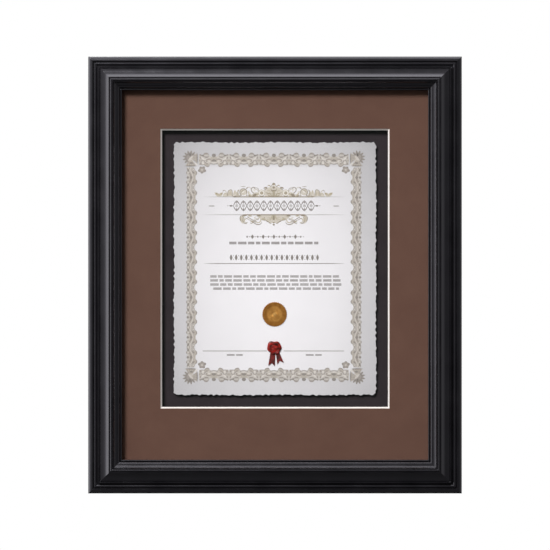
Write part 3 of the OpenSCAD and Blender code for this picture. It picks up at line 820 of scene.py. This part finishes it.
PETALS = (4.4, 3.9, 4.3, 3.8, 4.2)
FIRST_PETAL = 20


def corner_flower(pen):
    """The five-lobed flower inside each corner."""
    pen.dot(tan, 0, 0, 3.2, 20)
    petal_turn = 360 / len(PETALS)
    for i, reach in enumerate(PETALS):
        way = FIRST_PETAL + petal_turn * i
        pen.leaf(grey, polar(1, way), polar(reach, way), 3)
        pen.leaf(dark, polar(2.6, way), polar(reach, way), 1.2)
        between = way + petal_turn / 2
        pen.stroke(tint, [polar(0.8, between), polar(2.5, between)], 0.5)
    pen.dot(soft, 0, 0, 0.8, 12)


def border():
    """Four bands of repeats between four corner stars."""
    for i in range(END_UNITS):
        u = (i - (END_UNITS - 1) / 2) * END_PITCH
        end_unit(Pen(u, END_EDGE, 180))
        end_unit(Pen(u, -END_EDGE, 0))
    for i in range(SIDE_UNITS):
        v = (i - (SIDE_UNITS - 1) / 2) * SIDE_PITCH
        side_unit(Pen(-SIDE_EDGE, v, -90))
        side_unit(Pen(SIDE_EDGE, v, 90))
    for turn, flip, u, v in ((0, 1, -1, -1), (0, -1, 1, -1), (180, -1, -1, 1), (180, 1, 1, 1)):
        corner_star(Pen(u * STAR_U, v * STAR_V, turn, flip))
        corner_flower(Pen(u * (STAR_U - FLOWER_IN), v * (STAR_V - FLOWER_IN), turn, flip))


# The heading, a plain plait between scroll-work, and the plain rows and rules under it

HEAD_V = 70.9
FOOT_V = 52.9
HEAD_RIGHT = -0.2
RULE_HALF = 71.6
RULE_FADE = 22
# Half the gold stretch of the rule under the crest, and of the one over the pendant
HEAD_GOLD = 43.5
FOOT_GOLD = 34.0
PLAIT_HALF = 40.8
PLAIT_TALL = 10.2
PLAIT_LOBE = 6.8
STRAND = 0.52
STRANDS_APART = 0.55
STRAND_STEPS = 12
DASH_U = 62.6
DASH_V = 61.7
DASH_HALF = 2.7
LOZENGES_V = 30.8
LOZENGES_HALF = 27.0
LOZENGE_PITCH = 5.4
# The line over the name: where it starts and ends, its middle, its height
ABOVE_NAME = (-44.9, 46.3, 24.5, 2.6)
BEADS_AT = (0.4, 9.9)
BEADS_HALF = 46.0
BEADS = 18
BEAD_TALL = 6.0
NAME_RULE = (-70.3, 70.8, 3.9)
NAME_RULE_FADE = 12
TEXT_LEFT = -64.0
TEXT_RIGHT = 68.4
TEXT_LINES = (-9.1, -13.1, -17.2, -21.3)
TEXT_TALL = 2.1
LAST_LINE_IN = 3
SIGNING_RULES = ((-71.6, -7.1), (9.7, 70.4))
SIGNING_V = -84.0
CAPTION_V = -88.0
CAPTION_HALF = 8
CAPTION_TALL = 1.5
WORD_LEAST = 3.4
WORD_MORE = 5.2
WORD_GAP = 1.5


def crest_half(pen):
    """The right half of the scroll-work above the heading, from its rule up."""
    pen.patch(sand, [(0, 0.3), (0, 11.6), (2.4, 10.2), (5, 9.6), (9, 8.2), (9, 0.3)])
    pen.bow(bronze, (1.4, 12.6), (2.2, 10.6), (3.4, 10.2), 0.5)
    pen.bow(ochre, (3, 9.6), (4.4, 13.2), (6.4, 10.4), 1, LEAF)
    pen.bow(bronze, (3.2, 10.2), (4.6, 12.6), (6.2, 10.6), 0.4, LEAF)
    pen.leaf(bronze, (6.2, 9.6), (10.4, 8.4), 1.3, 0.06)
    pen.bow(bronze, (6.4, 8.8), (8.4, 7.8), (9.4, 6.6), 0.6)
    pen.stroke(ochre, arc(5.2, 4.8, 2, 0.6, 60, 420, 16), 0.8, TAPER)
    for tip, root in (((2.8, 8.6), 5.4), ((3.4, 3.4), 0.8), ((6.6, 2.6), 0.6), ((8.4, 4.8), 3.4)):
        pen.leaf(ochre, (1.1, root), tip, 1.2, -0.12)
        pen.leaf(bronze, (1.3, root), tip, 0.35, -0.12)
    pen.dot(ochre, 12.1, 3.9, 3.4, 24)
    pen.ring(bronze, 12.1, 3.9, 1, 0.5, 16)
    pen.ring(cream, 12.1, 3.9, 2.3, 1.3, 24)
    pen.bow(bronze, (9.6, 1.7), (12.1, -0.4), (14.6, 1.7), 1, LEAF)
    pen.patch(sand, [(15.2, 0.3), (15, 4), (17, 4.8), (19.4, 4.2), (23.4, 1.6), (23.8, 0.3)])
    pen.stroke(bronze, arc(17.7, 6.6, 2.7, 2.2, 210, -20, 14), 0.55)
    pen.stroke(ochre, arc(17.7, 6.4, 1.5, 1.2, 220, -40, 12), 0.45)
    loop = curve((18.6, 8.8), (21, 10.8), (22.4, 8)) + curve((22.6, 7.4), (22.6, 5.2), (19.8, 3.6))
    pen.stroke(bronze, loop, 0.75)
    pen.leaf(cream, (18.9, 5.2), (21.2, 8.6), 1.7)
    pen.leaf(bronze, (17.4, 3.4), (21.6, 0.7), 2.6, -0.1)
    pen.leaf(ochre, (15.4, 3.6), (18, 1.2), 1.6)
    pen.leaf(ochre, (22.2, 0.8), (25.6, 6), 1.9, -0.1)
    pen.leaf(cream, (23, 2.2), (25.2, 5.4), 0.8, -0.1)
    pen.leaf(bronze, (23, 0.5), (26.6, 1.9), 0.9)
    pen.bow(bronze, (25.4, 9.6), (26.6, 9.4), (28.2, 7.6), 0.9, LEAF)
    pen.bow(bronze, (28.2, 10.6), (30.6, 9.6), (33.6, 11), 0.5, LEAF)
    pen.bow(ochre, (22.8, 8.2), (24.2, 10.6), (26.6, 9.2), 0.4)
    pen.dot(sand, 30.6, 4.9, 3.4, 22)
    pen.stroke(bronze, arc(30.6, 4.6, 3.7, 3.4, 200, -60, 18) + [(34.4, 0.9)], 0.75)
    pen.stroke(ochre, arc(31, 4.6, 2.3, 0.5, 160, -200, 14), 0.7, TAPER)
    pen.leaf(cream, (28.6, 6.4), (32.4, 3.6), 1.2)
    pen.leaf(bronze, (28.4, 7.2), (33.2, 2.8), 0.45, 0.16)
    pen.bow(ochre, (27.4, 6.6), (26.6, 3.6), (27.6, 0.8), 0.7)
    pen.bow(bronze, (34.6, 7.2), (36.4, 5.6), (36, 0.9), 0.6)
    pen.bow(ochre, (35.4, 7), (37.6, 5.2), (37.2, 1), 0.5)
    pen.patch(sand, [(34.2, 0.3), (34.6, 3.4), (36.8, 5), (40.6, 4.4), (41.7, 0.3)])
    pen.patch(sand, [(46.4, 0.3), (46.9, 3.6), (49.2, 4.4), (50.8, 2.4), (51.4, 0.3)])
    pen.leaf(sand, (39, 0.8), (39, 7), 2.4)
    pen.leaf(ochre, (39, 3), (39, 6.8), 0.7)
    pen.leaf(bronze, (37.4, 0.1), (40.8, 0.1), 1.2)
    bud = curve((41.7, 0.6), (41.6, 8.8), (43.8, 7)) + curve((44.8, 6.9), (46.4, 6.6), (46.3, 0.6))
    pen.patch(sand, bud)
    rim = curve((41.6, 0.8), (41.2, 8.6), (44, 6.9)) + curve((45, 6.6), (46.4, 6), (46.4, 0.8))
    pen.stroke(bronze, rim, 0.6)
    pen.leaf(ochre, (42.6, 0.8), (43.4, 5.6), 1)
    pen.leaf(ochre, (45.2, 0.8), (44.6, 5.6), 0.9)
    pen.bow(ochre, (46.8, 1), (47, 5.6), (49.4, 6.4), 0.55)
    pen.bow(bronze, (48.8, 5.8), (50.4, 7.8), (51.4, 4.8), 0.7, LEAF)
    pen.bow(ochre, (47.6, 2.4), (48.8, 4.6), (50.2, 2.2), 0.5)
    pen.patch(sand, [(50.6, 4.6), (53, 4.2), (55, 3.2), (57, 4.2), (59.6, 4.4),
                          (58.6, 2), (56.6, 0.3), (52.6, 0.3)])
    for start, end in (((51.2, 4), (54.6, 1.6)), ((58.9, 4), (55.2, 1.6))):
        pen.leaf(ochre, start, end, 2.4)
    for x, y in ((52.2, 3.2), (57.6, 3.4), (54.9, 1.6)):
        pen.dot(bronze, x, y, 0.5, 8)
    for x in (26.9, 34.9, 38):
        pen.dot(bronze, x, 1.2, 0.4, 8)


def crest(pen):
    """The scroll-work above the heading, with its middle vase and finial."""
    pen.both_ways(crest_half)
    pen.dot(ochre, 0, 12.7, 1.5)
    pen.leaf(bronze, (-1.5, 13), (1.5, 13), 1.8)
    pen.leaf(cream, (-1.3, 11.2), (1.3, 11.2), 0.9)
    pen.dot(bronze, 0, 9.4, 1.2, 12)
    pen.leaf(sand, (-2, 7.8), (2, 7.8), 1.6)
    pen.patch(ochre, [(-1.5, 0.4), (-1.2, 4.6), (-2.8, 6.4), (0, 7), (2.8, 6.4),
                          (1.2, 4.6), (1.5, 0.4)])
    pen.leaf(bronze, (-3.2, 5.9), (3.2, 5.9), 1.2, 0.06)
    pen.stroke(bronze, [(0, 0.6), (0, 6.2)], 0.5, TAPER)
    for x in (-0.8, 0.8):
        pen.stroke(bronze, [(x * 1.2, 0.6), (x, 5.2)], 0.3)


def pendant_half(pen):
    """The right half of the scroll-work below the heading, with y down from its rule."""
    pen.patch(sand, [(0, 0.3), (0, 8.2), (3.4, 8.2), (6.4, 6.4), (13.2, 5.2), (16.6, 0.3)])
    pen.bow(bronze, (2, 8.9), (4.2, 8.6), (5.6, 6.9), 0.8, LEAF)
    pen.leaf(bronze, (4.6, 7.4), (8, 6), 1)
    pen.stroke(ochre, arc(5.4, 3.4, 1.9, 0.5, 40, 400, 16), 0.7, TAPER)
    pen.leaf(ochre, (7.6, 5.4), (12.2, 3.2), 1.8)
    pen.bow(bronze, (7.2, 5.6), (10, 5.8), (12.6, 4.4), 0.4)
    pen.dot(bronze, 9.3, 2.9, 0.5, 8)
    pen.leaf(ochre, (2.2, 1.2), (4, 5.8), 1.2, 0.1)
    pen.leaf(bronze, (12.8, 0.9), (17.6, 1.3), 1.3)
    pen.bow(ochre, (12.2, 1.6), (15.2, 2), (15.6, 4.2), 0.6)
    pen.stroke(sand, arc(15.6, 5.4, 2.5, 2.5, 200, 20, 12), 1)
    low = curve((11.6, 6.4), (12.6, 10.2), (16.2, 9.8)) + curve((17.4, 9.5), (20, 8.4), (21.6, 6.8))
    pen.stroke(bronze, low, 0.85, LEAF)
    pen.bow(ochre, (12.8, 5.2), (13.6, 8.8), (17.2, 7.9), 0.6)
    pen.bow(bronze, (17.2, 7.2), (21.2, 5.6), (26.4, 2), 0.65)
    pen.bow(bronze, (18, 7.9), (22.6, 6.2), (28.8, 3), 0.45)
    tie = curve((15, 4.4), (18.4, 4.8), (20.8, 7.6)) + curve((21.4, 8.2), (22.6, 9.2), (23.6, 8))
    pen.stroke(bronze, tie, 0.65)
    pen.bow(ochre, (15.6, 3.2), (19.2, 3.8), (22, 7), 0.5)
    pen.leaf(ochre, (19, 8.6), (24, 6), 1)
    pen.stroke(ochre, arc(18.8, 2.5, 0.9, 0.3, 0, 300, 10), 0.4)
    pen.leaf(ochre, (21.6, 1.4), (26, 1), 1.2)
    pen.patch(sand, arc(28.4, 4.6, 5.2, 5.2, -70, 60, 10) + [(29, 5.4)])
    pen.stroke(bronze, arc(28.4, 3.9, 5.5, 5.2, -40, 42, 10), 0.9, LEAF)
    pen.stroke(ochre, arc(28, 4.2, 4.2, 4, -60, 60, 10), 0.6)
    pen.stroke(bronze, arc(27.4, 4.9, 3.5, 3.9, -50, 95, 12), 0.5)
    pen.stroke(ochre, arc(27.2, 5.4, 2.3, 2.6, -40, 110, 12), 0.6)
    pen.bow(bronze, (26.2, 7.4), (28.6, 9.8), (30.8, 8), 0.6, LEAF)
    pen.bow(ochre, (25.6, 3.4), (28.4, 3.2), (29.4, 6.2), 0.5)
    pen.leaf(bronze, (26.8, 0.8), (33.2, 1.2), 1.1)


def pendant(pen):
    """The scroll-work below the heading, with its middle drop."""
    pen.both_ways(pendant_half)
    pen.patch(ochre, [(-2, 0.6), (2, 0.6), (1.6, 4.2), (1, 5.6), (-1, 5.6), (-1.6, 4.2)])
    pen.leaf(bronze, (0, 0.6), (0, 5.8), 1.7)
    pen.dot(cream, 0, 6.3, 0.7, 10)
    pen.leaf(ochre, (-1.6, 7.6), (1.6, 7.6), 1.6)
    pen.dot(bronze, 0, 7.7, 0.6, 10)
    pen.dot(bronze, 0, 9.9, 1.05, 12)


def guilloche(pen, half, height, lobe):
    """A plain plait of two double strands round a row of studs."""
    lobes = round(2 * half / lobe)
    step = 2 * half / lobes
    swing = height / 2 - 0.6
    for way in (1, -1):
        for side in (STRANDS_APART, -STRANDS_APART):
            line = []
            for i in range(lobes * STRAND_STEPS + 1):
                x = -half + step * i / STRAND_STEPS
                line.append((x, (swing * way + side) * math.sin(math.pi * i / STRAND_STEPS)))
            pen.stroke(word, line, STRAND)
    for i in range(lobes):
        x = -half + step * (i + 0.5)
        pen.ring(word, x, 0, 1.25, 0.4, 16)
        pen.dot(word, x, 0, 0.55, 10)
        pen.leaf(word, (x, 1.9), (x, height / 2 + 0.4), 0.9)
        pen.leaf(word, (x, -1.9), (x, -height / 2 - 0.4), 0.9)
    for side in (1, -1):
        pen.leaf(word, (side * (half + 0.4), 0), (side * (half + 4.2), 0), 1.6)
        pen.dot(word, side * (half + 5.4), 0, 0.5, 8)


def ruled(ink, u0, u1, v, width, fade=0):
    """A straight rule, drawn out thin over a stretch at each end."""
    pen = Pen(0, v)
    if fade:
        pen.stroke(ink, [(u0 + fade, 0), (u0, 0)], width, TAPER)
        pen.stroke(ink, [(u1 - fade, 0), (u1, 0)], width, TAPER)
    pen.stroke(ink, [(u0 + fade, 0), (u1 - fade, 0)], width)


def blocked_line(u0, u1, v, height, seed):
    """Plain bars as long as words, which stand for a line of small print."""
    pen = Pen(0, v)
    u, k = u0, seed
    while u < u1 - 2:
        length = min(WORD_LEAST + WORD_MORE * abs(math.sin(2.3 * k)), u1 - u)
        for y in (height * 0.28, -height * 0.28):
            pen.stroke(small, [(u, y), (u + length, y)], height * 0.4)
        u += length + WORD_GAP
        k += 1


def lozenges(pen, half, pitch):
    """A row of lozenges and dots on a hairline."""
    count = round(half / pitch)
    pen.stroke(small, [(-half, 0), (half, 0)], 0.25)
    for i in range(-count, count + 1):
        x = i * pitch
        size = 2.3 if i % 2 == 0 else 1.3
        pen.patch(word, [(x - size * 0.7, 0), (x, -size), (x + size * 0.7, 0), (x, size)])
        pen.dot(word, x + pitch / 2, 0, 0.5, 8)


def bead_row(pen, half, count, height):
    """A row of upright beads with a small stud between each two."""
    step = 2 * half / count
    for i in range(count):
        x = -half + step * (i + 0.5)
        pen.leaf(word, (x, -height / 2), (x, height / 2), step * 0.46)
        pen.leaf(word, (x - step * 0.3, 0), (x + step * 0.3, 0), 0.9)
        if i:
            for y in (height * 0.3, -height * 0.3):
                pen.dot(word, x - step / 2, y, 0.45, 8)


def heading():
    """Crest, plait and pendant, and the plain rows above the name's rule."""
    crest(Pen(HEAD_RIGHT, HEAD_V))
    pendant(Pen(HEAD_RIGHT, FOOT_V, 180))
    for v, half in ((HEAD_V, HEAD_GOLD), (FOOT_V, FOOT_GOLD)):
        ruled(rules, -RULE_HALF, RULE_HALF, v, 0.5, RULE_FADE)
        ruled(bronze, -half, half, v, 1.05, 5)
    guilloche(Pen(0, (HEAD_V + FOOT_V) / 2), PLAIT_HALF, PLAIT_TALL, PLAIT_LOBE)
    for u in (-DASH_U, DASH_U):
        ruled(rules, u - DASH_HALF, u + DASH_HALF, DASH_V, 0.9)
    lozenges(Pen(0, LOZENGES_V), LOZENGES_HALF, LOZENGE_PITCH)
    blocked_line(*ABOVE_NAME, 1)
    bead_row(Pen(*BEADS_AT), BEADS_HALF, BEADS, BEAD_TALL)


def body_lines():
    """The name's rule, the lines of small print, and two blank rules with their captions."""
    ruled(rules, *NAME_RULE, 0.8, NAME_RULE_FADE)
    for i, v in enumerate(TEXT_LINES):
        inset = LAST_LINE_IN if v == TEXT_LINES[-1] else 0
        blocked_line(TEXT_LEFT + inset, TEXT_RIGHT - inset, v, TEXT_TALL, 3 + 7 * i)
    for u0, u1 in SIGNING_RULES:
        ruled(rules, u0, u1, SIGNING_V, 0.75)
        u = (u0 + u1) / 2
        blocked_line(u - CAPTION_HALF, u + CAPTION_HALF, CAPTION_V, CAPTION_TALL, 5)


border()
heading()
body_lines()
for ink in inks:
    ink.dry()


# The gold seal, the wax seal and its ribbons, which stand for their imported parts

SEAL_RINGS = 46
SEAL_SPOKES = 320
SEAL_POINTS = 40
POINT_DEEP = 0.75 * MM
SEAL_BEADS = 30
# Where each zone of the gold seal begins, as a share of its radius
BRIM_FROM = 0.97
PLEATS_FROM = 0.83
BEADING_FROM = 0.755
CHANNEL_FROM = 0.7
FIELD_FROM = 0.14
# How many waves turn each way round the field, and how far they lean
FIELD_WAVES = 24
FIELD_LEAN = 22


def turned_relief(name, node, radius_at, rings, spokes, height_at, mid):
    """A round relief: its rim from an angle, its height from a share of it and the angle."""
    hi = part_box(node)[1]
    bm = bmesh.new()
    rows = []
    for ring in range(1, rings + 1):
        share = ring / rings
        row = []
        for spoke in range(spokes):
            a = 2 * math.pi * spoke / spokes
            r = radius_at(a) * share
            level = hi.y - height_at(share, a)
            row.append(bm.verts.new((mid.x + r * math.cos(a), level, mid.z + r * math.sin(a))))
        rows.append(row)
    hub = bm.verts.new((mid.x, hi.y - height_at(0.0, 0.0), mid.z))
    foot = [bm.verts.new((v.co.x, hi.y, v.co.z)) for v in rows[-1]]
    rows.append(foot)
    for spoke in range(spokes):
        bm.faces.new((hub, rows[0][(spoke + 1) % spokes], rows[0][spoke]))
    for inner, outer in zip(rows, rows[1:]):
        for spoke in range(spokes):
            after = (spoke + 1) % spokes
            bm.faces.new((inner[spoke], inner[after], outer[after], outer[spoke]))
    bm.faces.new(foot)
    bmesh.ops.recalc_face_normals(bm, faces=bm.faces)
    for face in bm.faces:
        face.smooth = len(face.verts) < 5
    piece = add_piece(name, bm, finishes[slots[node]])
    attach(piece, body_of_node(node))
    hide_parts(node)


gold_lo, gold_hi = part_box("gold_seal")
gold_r = (gold_hi.x - gold_lo.x) / 2
foil = gold_hi.y - gold_lo.y


def gold_rim(angle):
    """Small points round the seal."""
    wave = abs((angle * SEAL_POINTS / (2 * math.pi)) % 1 - 0.5) * 2
    return gold_r - POINT_DEEP * (1 - wave)


def gold_height(share, angle):
    """Flat brim, pleated flange, beaded ring, engine-turned field and a raised middle."""
    if share > BRIM_FROM:
        return foil * 0.55
    if share > PLEATS_FROM:
        return foil * (0.72 + 0.16 * math.cos(SEAL_POINTS * angle))
    if share > BEADING_FROM:
        across = (share - BEADING_FROM) / (PLEATS_FROM - BEADING_FROM)
        bead = abs(math.cos(SEAL_BEADS * angle)) * math.sin(math.pi * across)
        return foil * (0.6 + 0.38 * bead)
    if share > CHANNEL_FROM:
        return foil * 0.55
    if share > FIELD_FROM:
        one = math.sin(FIELD_WAVES * angle + FIELD_LEAN * share)
        two = math.sin(FIELD_WAVES * angle - FIELD_LEAN * share)
        return foil * (0.7 + 0.2 * one * two)
    return foil * (0.72 + 0.26 * math.cos(share / FIELD_FROM * math.pi / 2))


gold_mid = middle("gold_seal")
turned_relief("gold_seal_embossed", "gold_seal", gold_rim, SEAL_RINGS, SEAL_SPOKES,
              gold_height, gold_mid)

wax_lo, wax_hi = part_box("wax_seal")
wax_t = wax_hi.y - wax_lo.y
WAX_DOWN = 80.6 * MM
wax_mid = Vector((gold_mid.x, 0, sheet_mid.z - WAX_DOWN))
WAX_R = 7.1 * MM
WAX_RUN = 1.2 * MM
WAX_RINGS = 48
WAX_SPOKES = 160
WAX_SHORT = 0.08 * MM
STAMP_R = 4.4 * MM
STAMP_RING_R = 3.8
ROSETTE_PETALS = 8
# The waves that make the poured edge: how many round the seal, how high, turned how far
WAX_WAVES = ((1, 1.0, -13), (2, 0.2, 148), (3, 0.17, -13), (4, 0.2, -78), (6, 0.32, 54))


def wax_rim(angle):
    """The poured wax's edge, which ran out unevenly round the stamp."""
    run = sum(high * math.sin(count * angle + math.radians(turn)) for count, high, turn in WAX_WAVES)
    return WAX_R + WAX_RUN * run - WAX_SHORT


def wax_height(share, angle):
    """A swollen rim round a stamped hollow that holds a plain rosette."""
    rim = wax_rim(angle)
    r = share * rim / MM
    ripple = 0.07 * noise.noise((0.4 * r * math.cos(angle), 0.4 * r * math.sin(angle), 0.5))
    stamp = STAMP_R / MM
    if r > stamp:
        t = (r - stamp) / (rim / MM - stamp)
        swell = math.sqrt(max(0.0, 1 - t ** 2.4))
        lip = min(1.0, 0.66 + t * 2.4)
        return wax_t * (0.12 + 0.8 * swell * lip + ripple)
    petal = 0.5 + 0.5 * math.cos(ROSETTE_PETALS * angle)
    reach = 1.5 + 1.8 * petal
    raised = max(0.0, 1 - (r / reach) ** 4) * 0.14
    ring = 0.1 * math.exp(-((r - STAMP_RING_R) / 0.2) ** 2)
    return wax_t * (0.52 + raised + ring + ripple * 0.5)


turned_relief("wax_seal_poured", "wax_seal", wax_rim, WAX_RINGS, WAX_SPOKES, wax_height, wax_mid)

RIBBON_W = 6.6 * MM
RIBBON_T = 0.22 * MM
SWALLOW = 0.45
HELD_DOWN = 2.4 * MM
# Each ribbon: the side it leans to, where its middle is held, its width there, its length,
# and its lean in degrees
TAILS = ((-1, -1.6 * MM, 4.8 * MM, 14.8 * MM, 6), (1, 2.6 * MM, 3.2 * MM, 12.7 * MM, 15))
ACROSS = 14
ALONG = 40
FREE_FROM = 0.35
RIPPLE = 0.05 * MM
PLEAT = 0.12 * MM


def ribbon_tails():
    """Two swallow-tailed ribbon ends that curl a little off the sheet."""
    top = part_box("ribbon_tails")[1].y
    bm = bmesh.new()
    for side, held_x, held_w, length, lean in TAILS:
        c, s = polar(1, lean * side)
        grid = []
        for i in range(ALONG + 1):
            row = []
            for j in range(ACROSS + 1):
                t = 2 * j / ACROSS - 1
                end = length - SWALLOW * RIBBON_W * (1 - abs(t))
                down = end * i / ALONG
                across = t * (held_w + (RIBBON_W - held_w) * down / length) / 2
                free = max(0.0, down / length - FREE_FROM)
                lift = RIPPLE + free * (0.5 + 0.25 * t * side) * MM
                lift += RIPPLE * (1 + math.sin(9 * down / length + t))
                pleat = PLEAT * (1 - down / length) * (1 + math.cos(3 * math.pi * t))
                x = wax_mid.x + held_x + c * across + s * down
                z = wax_mid.z - HELD_DOWN + s * across - c * down
                row.append(bm.verts.new((x, top - lift - pleat, z)))
            grid.append(row)
        for i in range(ALONG):
            for j in range(ACROSS):
                bm.faces.new((grid[i][j], grid[i][j + 1], grid[i + 1][j + 1], grid[i + 1][j]))
    bmesh.ops.recalc_face_normals(bm, faces=bm.faces)
    for face in bm.faces:
        face.smooth = True
        if face.normal.y > 0:
            face.normal_flip()
    piece = add_piece("ribbon_tails_woven", bm, finishes["red_ribbon"])
    body = piece.modifiers.new("thickness", "SOLIDIFY")
    body.thickness = RIBBON_T
    body.offset = 1
    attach(piece, body_of_node("ribbon_tails"))
    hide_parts("ribbon_tails")


ribbon_tails()


# Floor

FLOOR_DROP = 1.1
FLOOR_HALF = 3.2


def make_floor():
    """A pale floor far below the frame, which throws little light back up at it."""
    f = Finish("pale_floor", 0.7)
    pale_tone = f.mix(f.noise(0.4, 3), srgb(226, 224, 221), srgb(234, 232, 229))
    seen = f.node("ShaderNodeLightPath", "Is Camera Ray")
    f.set(Base_Color=f.mix(seen, srgb(50, 50, 50), pale_tone))
    bm = bmesh.new()
    bmesh.ops.create_grid(bm, x_segments=8, y_segments=8, size=FLOOR_HALF)
    mesh = bpy.data.meshes.new("floor")
    bm.to_mesh(mesh)
    bm.free()
    mesh.materials.append(f.material)
    floor = bpy.data.objects.new("floor", mesh)
    floor.location = (0, 0, outer_lo.z - FLOOR_DROP)
    bpy.context.collection.objects.link(floor)


make_floor()
